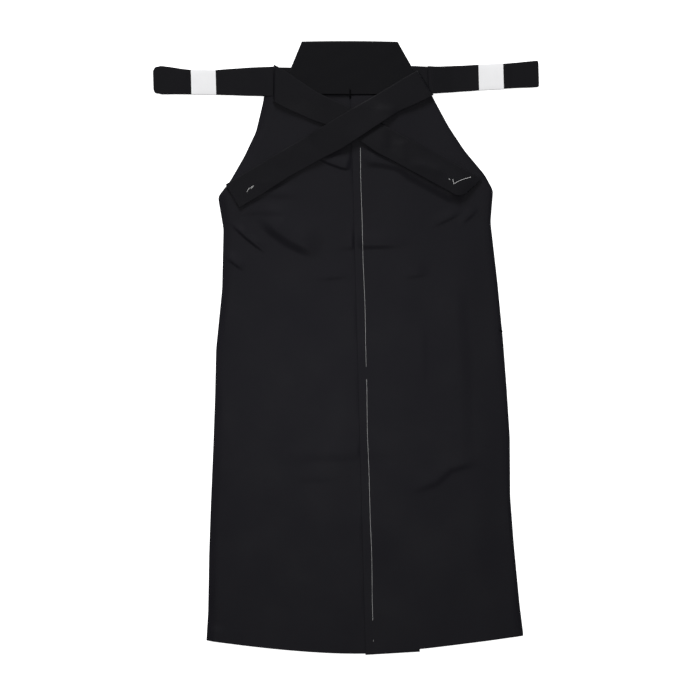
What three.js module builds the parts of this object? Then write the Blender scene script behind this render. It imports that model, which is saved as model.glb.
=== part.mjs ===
// Hakama trousers laid flat with the back up, as sold: back ties folded in paper bands, front ties crossed on the back.
// Millimetres. +X to the wearer's right, +Y from the hem to the back board, +Z up from the surface it lies on.
// Lengths down the garment are measured from the top of the back board and called "down".
import * as THREE from "three";
import { mergeVertices } from "three/addons/utils/BufferGeometryUtils.js";

// Cloth and the way it is layered
const CLOTH = 1.0;
const GAP = 0.3;
const PITCH = CLOTH + GAP;
const PAPER = 0.6;
const FOLD_STEPS = 3;

// Half widths of the laid garment on each side of the centre back pleat
const OUTLINE = [
  { down: 92, left: 148, right: 136 },
  { down: 148, left: 163, right: 165 },
  { down: 189, left: 184, right: 191 },
  { down: 230, left: 209, right: 224 },
  { down: 257, left: 231, right: 238 },
  { down: 311, left: 223, right: 232 },
  { down: 413, left: 228, right: 241 },
  { down: 515, left: 241, right: 248 },
  { down: 678, left: 250, right: 255 },
  { down: 780, left: 257, right: 253 },
  { down: 862, left: 262, right: 257 },
  { down: 1016, left: 271, right: 269 },
];
const HEM = { centre: 1042, left: { rise: 29, bend: 1.6 }, right: { rise: 23, bend: 1.3 }, half: 270 };
const UNDERLAY_HEM = { fold: 1044, edge: 1041 };
const FRONT_SHORT = 2;

// Back board: a stiff trapezium, a little askew to the pleat
const BOARD = { topLeft: -81, topRight: 82, bottomLeft: -121, bottomRight: 131, top: 0.5, bottom: 91.5, tilt: 0.029 };
const BOARD_THICK = 5;
const BOARD_BULGE = 1;
const BOARD_ROUND = 3;

// Back: one knife pleat at the centre, the right panel on top
const BACK_TOP_LEAST = 91.8;
const BACK_PLEAT = { waist: 60, hem: 92 };
const BACK_LEVEL = { side: 1.15, shoulder: 3, waist: 3, crotch: 5 };
const SHOULDER = 22;
const CROTCH = 560;
const INNER_LEFT = 0.24;
const BESIDE_PLEAT = 0.38;
const SHOWN_POINTS = { left: 6, right: 7 };

// Front: five pleats, three on the right panel and two on the left, with their folds towards the centre
const FRONT_TOP = 97;
const FRONT_INSET = 1.5;
const FRONT_PLEATS = [
  { waist: 70, hem: 185, deepWaist: 20, deepHem: 60 },
  { waist: 35, hem: 95, deepWaist: 20, deepHem: 60 },
];
const CENTRE_PLEAT = { waist: 20, hem: 75 };
const DROP = 8;
const WAISTBAND = { left: -139, right: 131, top: 48, bottom: 94.5 };

// Crotch gussets, folded in two between the front and the back of each leg
const GUSSET = { top: 10, hem: 46, short: 6 };

// Back ties: three runs each, laid out sideways, and the paper band that holds them
const BACK_TIES = {
  left: {
    fold: 123, end: 336, band: 250,
    stations: [
      { out: 60, down: 65, width: 46 }, { out: 112, down: 65, width: 46 }, { out: 125, down: 64.5, width: 50 },
      { out: 148, down: 64, width: 51 }, { out: 200, down: 63, width: 49 }, { out: 228, down: 63, width: 43.6 },
      { out: 272, down: 62, width: 43.6 }, { out: 300, down: 58.8, width: 47 }, { out: 336, down: 58, width: 45 },
    ],
  },
  right: {
    fold: 133, end: 321, band: 239.5,
    stations: [
      { out: 60, down: 68, width: 45 }, { out: 112, down: 68, width: 46 }, { out: 125, down: 68, width: 46 },
      { out: 148, down: 68, width: 46 }, { out: 200, down: 67.3, width: 44 }, { out: 217, down: 67, width: 43.5 },
      { out: 262, down: 66, width: 43 }, { out: 290, down: 64.6, width: 44 }, { out: 321, down: 63.5, width: 45 },
    ],
  },
};
const BACK_TIE_RUNS = 3;
const BACK_TIE_FALL = 148;
const BAND = { wide: 42, clear: 0.4, ease: 14 };

// Front ties: five runs each, laid from one top corner to the other side seam
const FRONT_TIES = {
  left: { from: { x: -127, down: 65 }, to: { x: 200, down: 256 }, width: 46 },
  right: { from: { x: 123, down: 75 }, to: { x: -205, down: 258 }, width: 46 },
};
const FRONT_TIE_RUNS = 5;
const FRONT_TIE_STEP = 15;

const BLACK_CLOTH = { color: 0x1c1c1f, roughness: 0.85, metalness: 0 };
const BAND_PAPER = { color: 0xe8e8ec, roughness: 0.7, metalness: 0 };

const mix = (a, b, t) => a + (b - a) * t;
const clamp = (value) => Math.min(1, Math.max(0, value));
const height = (level) => CLOTH / 2 + level * PITCH;

// Straight-line lookup in a table sorted by one column
function lookUp(table, key, at, column) {
  let index = 1;
  while (index < table.length - 1 && table[index][key] < at) {
    index += 1;
  }
  const low = table[index - 1];
  const high = table[index];
  return mix(low[column], high[column], clamp((at - low[key]) / (high[key] - low[key])));
}

const hemAt = (x) => {
  const side = x < 0 ? HEM.left : HEM.right;
  return HEM.centre - side.rise * (Math.abs(x) / HEM.half) ** side.bend;
};
const underHemAt = (x) => mix(UNDERLAY_HEM.fold, UNDERLAY_HEM.edge, x / BACK_PLEAT.hem);
const boardBottom = (x) => BOARD.bottom + BOARD.tilt * x;
const backTopEdge = (x) => Math.max(boardBottom(x) + GAP, BACK_TOP_LEAST);
const alongLeg = (down) => clamp((down - FRONT_TOP) / (HEM.centre - FRONT_TOP));

// Closed body of a sheet: every row is a path of { x, down, z, half }, thickened on both sides of the path in x and z.
// The side left of the path's direction is its upper face, and to(point) carries a point into the garment's frame.
function sheetBody(rows, to = (point) => point) {
  const count = rows[0].length;
  const corners = [];
  for (const row of rows) {
    for (const sign of [1, -1]) {
      row.forEach((point, i) => {
        const before = row[Math.max(0, i - 1)];
        const after = row[Math.min(count - 1, i + 1)];
        const along = new THREE.Vector2(after.x - before.x, after.z - before.z).normalize();
        const half = sign * (point.half ?? CLOTH / 2);
        const placed = to({ x: point.x - along.y * half, down: point.down, z: point.z + along.x * half });
        corners.push(placed.x, -placed.down, placed.z);
      });
    }
  }
  const at = (row, side, i) => (row * 2 + side) * count + i;
  const faces = [];
  const quad = (a, b, c, d) => faces.push(a, b, c, a, c, d);
  for (let row = 0; row < rows.length - 1; row += 1) {
    for (let i = 0; i < count - 1; i += 1) {
      quad(at(row, 0, i), at(row + 1, 0, i), at(row + 1, 0, i + 1), at(row, 0, i + 1));
      quad(at(row, 1, i), at(row, 1, i + 1), at(row + 1, 1, i + 1), at(row + 1, 1, i));
    }
    quad(at(row, 0, 0), at(row, 1, 0), at(row + 1, 1, 0), at(row + 1, 0, 0));
    const last = count - 1;
    quad(at(row, 0, last), at(row + 1, 0, last), at(row + 1, 1, last), at(row, 1, last));
  }
  const bottom = rows.length - 1;
  for (let i = 0; i < count - 1; i += 1) {
    quad(at(0, 0, i), at(0, 0, i + 1), at(0, 1, i + 1), at(0, 1, i));
    quad(at(bottom, 0, i), at(bottom, 1, i), at(bottom, 1, i + 1), at(bottom, 0, i + 1));
  }
  const geometry = new THREE.BufferGeometry();
  geometry.setAttribute("position", new THREE.Float32BufferAttribute(corners, 3));
  geometry.setIndex(faces);
  return facingOut(geometry);
}

// Turns every face over when the body encloses a negative volume
function facingOut(geometry) {
  const position = geometry.attributes.position;
  const index = geometry.index.array;
  const corner = (i) => new THREE.Vector3().fromBufferAttribute(position, index[i]);
  let volume = 0;
  for (let i = 0; i < index.length; i += 3) {
    volume += corner(i).dot(corner(i + 1).cross(corner(i + 2)));
  }
  if (volume < 0) {
    geometry.setIndex(Array.from(index).reverse());
  }
  geometry.computeVertexNormals();
  return geometry;
}

// Half turn at a fold from one height to another: outward is +1 when the fold points to +x
function foldArc(x, fromZ, toZ, outward) {
  const radius = (toZ - fromZ) / 2;
  const points = [];
  for (let step = 0; step <= FOLD_STEPS; step += 1) {
    const angle = (Math.PI * step) / FOLD_STEPS;
    points.push({ x: x + outward * Math.abs(radius) * Math.sin(angle), z: fromZ + radius * (1 - Math.cos(angle)) });
  }
  return points;
}

function mesh(name, geometry, finish) {
  const piece = new THREE.Mesh(geometry, new THREE.MeshStandardMaterial(finish));
  piece.name = name;
  return piece;
}

// Height of the back's upper cloth, in levels, at a point of a row: how high the layers under it lift it
function backStack(down, half) {
  const lift = mix(BACK_LEVEL.waist, BACK_LEVEL.crotch, clamp((down - BACK_TOP_LEAST) / (CROTCH - BACK_TOP_LEAST)));
  const pleat = mix(BACK_PLEAT.waist, BACK_PLEAT.hem, alongLeg(down));
  const shoulder = half - SHOULDER;
  return { lift, pleat, shoulder, beside: mix(pleat, shoulder, BESIDE_PLEAT) };
}

function backLeftPath(down, half) {
  const { lift, pleat, shoulder } = backStack(down, half);
  return [
    { x: -half, z: height(BACK_LEVEL.side) },
    { x: -mix(half, shoulder, 0.5), z: height(mix(BACK_LEVEL.side, BACK_LEVEL.shoulder, 0.62)) },
    { x: -shoulder, z: height(BACK_LEVEL.shoulder) },
    { x: -mix(shoulder, half * INNER_LEFT, 0.5), z: height(mix(BACK_LEVEL.shoulder, lift, 0.3)) },
    { x: -half * INNER_LEFT, z: height(mix(BACK_LEVEL.shoulder, lift, 0.65)) },
    { x: -12, z: height(lift) },
    { x: -3, z: height(lift) },
    { x: pleat / 2, z: height(lift), under: true },
    { x: pleat, z: height(lift), under: true },
  ];
}

function backRightPath(down, half) {
  const { lift, pleat, shoulder, beside } = backStack(down, half);
  return [
    { x: half, z: height(BACK_LEVEL.side) },
    { x: mix(half, shoulder, 0.5), z: height(mix(BACK_LEVEL.side, BACK_LEVEL.shoulder, 0.62)) },
    { x: shoulder, z: height(BACK_LEVEL.shoulder) },
    { x: beside, z: height(lift) },
    { x: pleat + 12, z: height(lift + 1.4) },
    { x: pleat + 2, z: height(lift + 2) },
    { x: pleat / 2, z: height(lift + 2) },
    ...foldArc(0, height(lift + 2), height(lift + 1), -1),
    { x: pleat / 2, z: height(lift + 1), under: true },
    { x: pleat, z: height(lift + 1), under: true },
  ];
}

// Rows of a panel from its top edge down to its hem, at the heights of the outline's table
function panelRows(side, topEdge, hemEdge, inset, path) {
  const sign = side === "left" ? -1 : 1;
  const reach = OUTLINE[OUTLINE.length - 1][side];
  const top = topEdge(sign * OUTLINE[0][side]);
  const hem = hemEdge(sign * reach);
  return OUTLINE.map(({ down }) => {
    const share = clamp((down - OUTLINE[0].down) / (OUTLINE[OUTLINE.length - 1].down - OUTLINE[0].down));
    const half = lookUp(OUTLINE, "down", mix(top, hem, share), side) - inset;
    const middle = mix(topEdge(0), hemEdge(0), share);
    return path(middle, half).map((point) => {
      const foot = point.under ? underHemAt(point.x) : hemEdge(point.x);
      return { ...point, down: mix(topEdge(point.x), foot, share) };
    });
  });
}

function backPanel(side) {
  const path = side === "left" ? backLeftPath : backRightPath;
  return sheetBody(panelRows(side, backTopEdge, hemAt, 0, path));
}

// One front pleat: in along the face, back out under it, in again on the third level and down to the face
function frontPleat(pleat, down) {
  const edge = mix(pleat.waist, pleat.hem, alongLeg(down));
  const deep = mix(pleat.deepWaist, pleat.deepHem, alongLeg(down));
  return [
    ...foldArc(edge, height(0), height(1), -1),
    ...foldArc(edge + deep, height(1), height(2), 1),
    { x: edge, z: height(2) },
    { x: edge - DROP, z: height(0) },
  ];
}

const mirrored = (points) => points.map((point) => ({ ...point, x: -point.x }));

function frontRightPath(down, half) {
  const deep = mix(CENTRE_PLEAT.waist, CENTRE_PLEAT.hem, alongLeg(down));
  return [
    { x: half, z: height(0) },
    ...FRONT_PLEATS.flatMap((pleat) => frontPleat(pleat, down)),
    ...foldArc(0, height(0), height(1), -1),
    { x: deep, z: height(1) },
  ];
}

function frontLeftPath(down, half) {
  const deep = mix(CENTRE_PLEAT.waist, CENTRE_PLEAT.hem, alongLeg(down));
  return [
    { x: -half, z: height(0) },
    ...FRONT_PLEATS.flatMap((pleat) => mirrored(frontPleat(pleat, down))),
    { x: -14, z: height(0) },
    { x: -4, z: height(2) },
    { x: deep, z: height(2) },
  ];
}

function frontPanel(side) {
  const path = side === "left" ? frontLeftPath : frontRightPath;
  const top = () => FRONT_TOP;
  return sheetBody(panelRows(side, top, (x) => hemAt(x) - FRONT_SHORT, FRONT_INSET, path));
}

function gusset(side) {
  const sign = side === "left" ? -1 : 1;
  const rows = [0, 0.5, 1].map((share) => {
    const hem = HEM.centre - GUSSET.short;
    const down = mix(CROTCH, hem, share);
    const seam = mix(BACK_PLEAT.waist, BACK_PLEAT.hem, alongLeg(down)) + (sign < 0 ? -2 : 4);
    const wide = mix(GUSSET.top, GUSSET.hem, share);
    const path = [
      { x: seam, z: height(3) },
      ...foldArc(seam + sign * wide, height(3), height(4), sign),
      { x: seam, z: height(4) },
    ];
    return path.map((point) => ({ ...point, down }));
  });
  return sheetBody(rows);
}

// The front's waistband: one strip folded over the top edge, open towards the panels
function waistband() {
  const rows = [WAISTBAND.left, WAISTBAND.right].map((x) => {
    const path = [
      { x: -WAISTBAND.bottom, z: height(0) },
      ...foldArc(-WAISTBAND.top - PITCH, height(0), height(1), 1),
      { x: -WAISTBAND.bottom, z: height(1) },
    ];
    return path.map((point) => ({ ...point, down: x }));
  });
  return sheetBody(rows, (point) => ({ x: point.down, down: -point.x, z: point.z }));
}

const boardFloor = height(2) + CLOTH / 2 + GAP;
const boardTop = boardFloor + BOARD_THICK;

function backBoard() {
  const rounding = [
    { from: 0, half: 0.45 },
    { from: 0.12, half: 0.75 },
    { from: 0.45, half: 0.95 },
    { from: 1, half: 1 },
  ];
  const across = (width) => {
    const near = rounding.map(({ from, half }) => ({ at: (from * BOARD_ROUND) / width, half }));
    const far = near.map(({ at, half }) => ({ at: 1 - at, half })).reverse();
    return [...near, { at: 0.5, half: 1 }, ...far];
  };
  const length = BOARD.bottom - BOARD.top;
  const rows = across(length).map((row) => {
    const left = mix(BOARD.topLeft, BOARD.bottomLeft, row.at);
    const right = mix(BOARD.topRight, BOARD.bottomRight, row.at);
    return across(right - left).map((spot) => {
      const x = mix(left, right, spot.at);
      const bulge = BOARD_BULGE * (1 - row.at) * (1 - (2 * spot.at - 1) ** 2);
      const half = (BOARD_THICK / 2) * Math.min(row.half, spot.half);
      const down = mix(BOARD.top - bulge, BOARD.bottom, row.at) + BOARD.tilt * x;
      return { x, down, z: boardFloor + BOARD_THICK / 2, half };
    });
  });
  return sheetBody(rows);
}

// Zigzag of a tie: runs between its near and far folds, each run lying on the one before it
function zigzag(runs, first, near, far, stations, rest) {
  const path = [];
  for (let run = 0; run < runs; run += 1) {
    const lift = run * PITCH;
    const outward = run % 2 === 0;
    const start = run === 0 ? first : near;
    const inside = stations.filter((at) => at > start + PITCH && at < far - PITCH);
    const stops = outward ? inside : inside.reverse();
    if (run === 0) {
      path.push({ x: first, z: rest(first) });
    }
    stops.forEach((at) => path.push({ x: at, z: rest(at) + lift }));
    const turn = outward ? far : near;
    if (run < runs - 1) {
      path.push(...foldArc(turn, rest(turn) + lift, rest(turn) + lift + PITCH, outward ? 1 : -1));
    } else {
      path.push({ x: turn, z: rest(turn) + lift });
    }
  }
  return path;
}

// Height of the middle of a back tie's lowest run: over the waistband, then on the surface, a little up in its band
function backTieRest(tie) {
  const raised = height(0) + PAPER + BAND.clear;
  const half = BAND.wide / 2;
  return [
    { out: 0, z: height(2) },
    { out: BACK_TIE_FALL - 6, z: height(2) },
    { out: BACK_TIE_FALL + 12, z: height(0) },
    { out: tie.band - half - BAND.ease, z: height(0) },
    { out: tie.band - half, z: raised },
    { out: tie.band + half, z: raised },
    { out: tie.band + half + BAND.ease, z: height(0) },
    { out: tie.end + PITCH, z: height(0) },
  ];
}

function backTie(side) {
  const sign = side === "left" ? -1 : 1;
  const tie = BACK_TIES[side];
  const heights = backTieRest(tie);
  const rest = (at) => lookUp(heights, "out", at, "z");
  const stops = [...tie.stations.map(({ out }) => out), ...heights.map(({ out }) => out)].sort((a, b) => a - b);
  const spaced = stops.filter((at, i) => i === 0 || at - stops[i - 1] > 1);
  const path = zigzag(BACK_TIE_RUNS, tie.stations[0].out, tie.fold, tie.end, spaced, rest);
  const rows = [-1, 1].map((across) => path.map((point) => ({ ...point, down: across })));
  return sheetBody(rows, (point) => {
    const centre = lookUp(tie.stations, "out", point.x, "down");
    const width = lookUp(tie.stations, "out", point.x, "width");
    return { x: sign * point.x, down: centre + (point.down * width) / 2, z: point.z };
  });
}

// Paper band: a flat sleeve around the folded tie
function tieBand(side) {
  const sign = side === "left" ? -1 : 1;
  const tie = BACK_TIES[side];
  const innerWide = lookUp(tie.stations, "out", tie.band, "width") + 2 * BAND.clear;
  const innerHigh = BACK_TIE_RUNS * PITCH - GAP + 2 * BAND.clear;
  const sleeve = new THREE.Shape();
  const opening = new THREE.Path();
  for (const [outline, grow] of [[sleeve, PAPER], [opening, 0]]) {
    const half = innerWide / 2 + grow;
    outline.moveTo(-half, PAPER - grow);
    outline.lineTo(half, PAPER - grow);
    outline.lineTo(half, PAPER + innerHigh + grow);
    outline.lineTo(-half, PAPER + innerHigh + grow);
    outline.closePath();
  }
  sleeve.holes.push(opening);
  const geometry = new THREE.ExtrudeGeometry(sleeve, { depth: BAND.wide, bevelEnabled: false });
  geometry.translate(0, 0, -BAND.wide / 2);
  geometry.rotateX(Math.PI / 2);
  geometry.rotateZ(Math.PI / 2);
  const down = lookUp(tie.stations, "out", tie.band, "down");
  const near = lookUp(tie.stations, "out", tie.band - BAND.wide / 2, "down");
  const far = lookUp(tie.stations, "out", tie.band + BAND.wide / 2, "down");
  geometry.rotateZ(-sign * Math.atan((far - near) / BAND.wide));
  geometry.translate(sign * tie.band, -down, 0);
  return closed(geometry);
}

function closed(geometry) {
  geometry.deleteAttribute("normal");
  geometry.deleteAttribute("uv");
  return facingOut(mergeVertices(geometry, 1e-3));
}

// Top of the cloth that a crossed front tie lies on: the board, or the back panels
function backSurface(x, down) {
  if (down < boardBottom(x) + 2) {
    return boardTop;
  }
  const side = x < 0 ? "left" : "right";
  const half = lookUp(OUTLINE, "down", down, side);
  const path = side === "left" ? backLeftPath(down, half) : backRightPath(down, half);
  const shown = path.slice(0, SHOWN_POINTS[side]);
  const sorted = shown.map((point) => ({ out: Math.abs(point.x), z: point.z })).sort((a, b) => a.out - b.out);
  return lookUp(sorted, "out", Math.abs(x), "z") + CLOTH / 2;
}

// A crossed front tie: its place, its length and how high its lowest run lies along it
function crossedTie(side, under) {
  const tie = FRONT_TIES[side];
  const run = new THREE.Vector2(tie.to.x - tie.from.x, tie.to.down - tie.from.down);
  const length = run.length();
  const along = run.normalize();
  const place = (at, across) => ({
    x: tie.from.x + along.x * at - along.y * across,
    down: tie.from.down + along.y * at + along.x * across,
  });
  const stations = Array.from({ length: Math.round(length / FRONT_TIE_STEP) + 1 }, (_, i) => i);
  const step = length / (stations.length - 1);
  const heights = stations.map((station) => {
    let highest = 0;
    for (let back = -1; back <= 1; back += 0.5) {
      for (let across = -0.5; across <= 0.5; across += 0.1) {
        const at = Math.min(length, Math.max(0, (station + back) * step));
        const spot = place(at, across * tie.width);
        highest = Math.max(highest, under(spot.x, spot.down));
      }
    }
    return { at: station * step, z: highest + GAP + CLOTH / 2 };
  });
  const top = (x, down) => {
    const at = (x - tie.from.x) * along.x + (down - tie.from.down) * along.y;
    const across = Math.abs((down - tie.from.down) * along.x - (x - tie.from.x) * along.y);
    const covers = at > -PITCH && at < length + PITCH && across < tie.width / 2 + GAP;
    return covers ? lookUp(heights, "at", at, "z") + FRONT_TIE_RUNS * PITCH : 0;
  };
  return { tie, length, place, heights, top };
}

function frontTie({ tie, length, place, heights }) {
  const rest = (at) => lookUp(heights, "at", at, "z");
  const path = zigzag(FRONT_TIE_RUNS, 0, 0, length, heights.map(({ at }) => at), rest);
  const rows = [-0.5, 0.5].map((across) => path.map((point) => ({ ...point, down: across * tie.width })));
  return sheetBody(rows, (point) => ({ ...place(point.x, point.down), z: point.z }));
}

const garment = new THREE.Group();
garment.name = "hakama";
garment.add(mesh("koshiita_board", backBoard(), BLACK_CLOTH));
garment.add(mesh("front_waistband", waistband(), BLACK_CLOTH));
for (const side of ["left", "right"]) {
  garment.add(mesh(`front_panel_${side}`, frontPanel(side), BLACK_CLOTH));
  garment.add(mesh(`back_panel_${side}`, backPanel(side), BLACK_CLOTH));
  garment.add(mesh(`crotch_gusset_${side}`, gusset(side), BLACK_CLOTH));
  garment.add(mesh(`back_tie_${side}`, backTie(side), BLACK_CLOTH));
  garment.add(mesh(`tie_band_${side}`, tieBand(side), BAND_PAPER));
}
const lowerTie = crossedTie("left", backSurface);
const upperTie = crossedTie("right", (x, down) => Math.max(backSurface(x, down), lowerTie.top(x, down)));
garment.add(mesh("front_tie_left", frontTie(lowerTie), BLACK_CLOTH));
garment.add(mesh("front_tie_right", frontTie(upperTie), BLACK_CLOTH));

// Origin at the middle of the laid garment, on the surface
const box = new THREE.Box3().setFromObject(garment);
const middle = box.getCenter(new THREE.Vector3());
garment.position.set(-middle.x, -middle.y, -box.min.z);

export default garment;
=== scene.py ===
"""Looks of the laid hakama: its cloth, ties, paper bands and threads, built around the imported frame.

Sizes of the garment are in millimetres, measured across from the centre back pleat, down from the
top of the back board and up from the surface it lies on. Layout turns them into the frame's metres.
"Left" and "right" are as the laid garment is looked at from above.
"""

import logging
import math
from dataclasses import dataclass, field
from enum import Enum
from typing import Callable, Sequence

import bpy
import numpy as np
from mathutils import Matrix, Vector


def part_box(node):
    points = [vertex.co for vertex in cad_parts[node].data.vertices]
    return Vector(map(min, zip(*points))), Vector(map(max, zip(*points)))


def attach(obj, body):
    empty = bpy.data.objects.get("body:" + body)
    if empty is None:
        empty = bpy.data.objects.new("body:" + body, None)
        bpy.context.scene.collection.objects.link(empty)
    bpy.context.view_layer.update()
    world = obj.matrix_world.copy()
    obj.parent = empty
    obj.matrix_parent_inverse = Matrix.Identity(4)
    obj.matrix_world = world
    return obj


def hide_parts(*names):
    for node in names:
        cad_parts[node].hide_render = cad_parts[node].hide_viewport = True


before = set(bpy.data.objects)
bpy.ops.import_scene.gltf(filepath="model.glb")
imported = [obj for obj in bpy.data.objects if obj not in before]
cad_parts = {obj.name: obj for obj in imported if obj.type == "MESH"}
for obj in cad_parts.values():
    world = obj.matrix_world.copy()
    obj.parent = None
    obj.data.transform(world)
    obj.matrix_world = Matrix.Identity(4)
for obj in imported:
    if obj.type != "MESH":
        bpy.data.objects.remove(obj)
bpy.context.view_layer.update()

LOG = logging.getLogger("hakama")

MM = 0.001
BODY = "root"

# The layers of the laid garment, as the frame holds them: a wall, the way to the next one, and the
# radius of a fold between the two. The cloth that is seen is thinner than the frame's walls.
LAYER = 1.0
PITCH = 1.3
FOLD_RADIUS = PITCH / 2
CLOTH = 0.6

# How the cloth of the panels lies in the frame's lowest walls: on the surface, not in their middle
SETTLED = (LAYER - CLOTH) / 2

Array = np.ndarray
Spot = tuple[float, float]


def level(layers: Array | float) -> Array | float:
    """Height of the middle of a layer, counted from 0 at the surface."""
    return LAYER / 2 + np.asarray(layers) * PITCH


def ease(share: Array | float) -> Array:
    """Smooth step from 0 to 1."""
    inside = np.clip(share, 0.0, 1.0)
    return inside * inside * (3 - 2 * inside)


def blend(low: Array | float, high: Array | float, share: Array | float) -> Array:
    """Value between low and high at a share of the way."""
    return low + (np.asarray(high) - low) * share


def half_turn(count: int) -> Array:
    """Angles of a cloth's fold, from one layer round to the next."""
    return np.linspace(0.0, math.pi, count)


@dataclass(frozen=True)
class Layout:
    """Where the garment's own measures stand in the frame.

    Attributes:
        pleat: The frame's X of the centre back pleat, in metres.
        top: The frame's Y of the measure "down 0", in metres.
    """

    pleat: float
    top: float

    @staticmethod
    def from_board(foot_left: float, corner_down: float) -> "Layout":
        """Reads the place of the garment off the back board's node.

        Args:
            foot_left: The board's lower left corner across, in millimetres.
            corner_down: The board's highest corner down, in millimetres.

        Returns:
            The layout.
        """
        low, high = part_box("koshiita_board")
        return Layout(low[0] - foot_left * MM, high[1] + corner_down * MM)

    def place(self, across: Array, down: Array, up: Array) -> Array:
        """Turns garment measures in millimetres into frame points in metres."""
        across, down, up = np.broadcast_arrays(across, down, up)
        return np.stack([self.pleat + across * MM, self.top - down * MM, up * MM], axis=-1)


# ---------------------------------------------------------------- cloth meshes


def spread(start: float, end: float, step: float, edge: float = 0.35) -> Array:
    """Even stations from start to end with one close station at each end, so that edges stay crisp.

    Args:
        start: First station.
        end: Last station.
        step: Largest distance between stations.
        edge: Distance of the second and the last but one station from the ends.

    Returns:
        The stations.
    """
    count = max(2, int(math.ceil(abs(end - start) / step)) + 1)
    inner = np.linspace(start, end, count)[1:-1]
    way = math.copysign(edge, end - start)
    return np.concatenate([[start, start + way], inner, [end - way, end]])


def along(points: Array, axis: int) -> Array:
    """Distance covered along an axis of a grid of points, starting at 0.

    Args:
        points: The grid.
        axis: 0 for rows, 1 for columns.

    Returns:
        A distance for each point.
    """
    steps = np.linalg.norm(np.diff(points, axis=axis), axis=-1)
    start = np.zeros_like(np.take(steps, [0], axis=axis))
    return np.concatenate([start, np.cumsum(steps, axis=axis)], axis=axis)


def normals_of(points: Array) -> Array:
    """Unit normals of a grid of points, columns crossed with rows.

    Args:
        points: The grid.

    Returns:
        A normal for each point.
    """
    by_column = np.gradient(points, axis=1)
    by_row = np.gradient(points, axis=0)
    normal = np.cross(by_column, by_row)
    size = np.linalg.norm(normal, axis=-1, keepdims=True)
    return normal / np.maximum(size, 1e-12)


def shell(name: str, points: Array, half: Array | float, smooth: float = 50.0) -> bpy.types.Object:
    """Makes a thin closed shell around a grid of points, with a UV map in metres of cloth.

    Args:
        name: The piece's name.
        points: Rows by columns by 3, in metres, the middle of the sheet.
        half: Half of its thickness in metres, one value or one for each point.
        smooth: Edges flatter than this angle, in degrees, are shaded smooth.

    Returns:
        The piece's object, with its place in its mesh.
    """
    rows, columns = points.shape[:2]
    normal = normals_of(points)
    offset = normal * np.broadcast_to(np.asarray(half), (rows, columns))[..., None]
    corners = np.concatenate([(points + offset).reshape(-1, 3), (points - offset).reshape(-1, 3)])
    index = np.arange(rows * columns).reshape(rows, columns)
    under = index + rows * columns
    a, b, c, d = index[:-1, :-1], index[:-1, 1:], index[1:, 1:], index[1:, :-1]
    e, f, g, h = under[:-1, :-1], under[:-1, 1:], under[1:, 1:], under[1:, :-1]
    faces = [
        np.stack([a, b, c, d], -1).reshape(-1, 4),
        np.stack([e, h, g, f], -1).reshape(-1, 4),
        np.stack([index[0, :-1], under[0, :-1], under[0, 1:], index[0, 1:]], -1),
        np.stack([index[-1, :-1], index[-1, 1:], under[-1, 1:], under[-1, :-1]], -1),
        np.stack([index[:-1, 0], index[1:, 0], under[1:, 0], under[:-1, 0]], -1),
        np.stack([index[:-1, -1], under[:-1, -1], under[1:, -1], index[1:, -1]], -1),
    ]
    quads = np.concatenate(faces)
    flat = np.stack([along(points, 1), along(points, 0)], -1).reshape(-1, 2)
    return mesh_piece(name, corners, quads, np.concatenate([flat, flat]), smooth)


def mesh_piece(
    name: str, corners: Array, quads: Array, flat: Array | None, smooth: float
) -> bpy.types.Object:
    """Makes an object of corners and four-sided faces.

    Args:
        name: The piece's name.
        corners: Vertex places in metres.
        quads: Vertex numbers, four to a face.
        flat: UV of each vertex, or None.
        smooth: Edges flatter than this angle, in degrees, are shaded smooth.

    Returns:
        The object, linked to the scene.
    """
    mesh = bpy.data.meshes.new(name)
    mesh.from_pydata(corners.tolist(), [], quads.tolist())
    if flat is not None:
        layer = mesh.uv_layers.new(name="cloth")
        layer.data.foreach_set("uv", flat[quads.reshape(-1)].astype(np.float32).reshape(-1))
    mesh.validate()
    piece = bpy.data.objects.new(name, mesh)
    bpy.context.scene.collection.objects.link(piece)
    bpy.ops.object.select_all(action="DESELECT")
    piece.select_set(True)
    bpy.context.view_layer.objects.active = piece
    bpy.ops.object.shade_smooth_by_angle(angle=math.radians(smooth))
    piece.select_set(False)
    return piece


def finish_piece(
    piece: bpy.types.Object, finish: bpy.types.Material, nodes: Sequence[str] = ()
) -> None:
    """Dresses a piece, hangs it on the body and hides the frame's nodes it stands for.

    Args:
        piece: The piece.
        finish: Its material.
        nodes: The frame's nodes it replaces.
    """
    piece.data.materials.append(finish)
    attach(piece, BODY)
    if nodes:
        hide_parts(*nodes)
    LOG.info("%s: %d faces", piece.name, len(piece.data.polygons))


# ---------------------------------------------------------------- creases


class Form(Enum):
    """How a crease is shaped across."""

    SOFT = "rounded on both sides"
    TUCK = "a slow rise that drops steeply on the right-hand side of its route"


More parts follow.
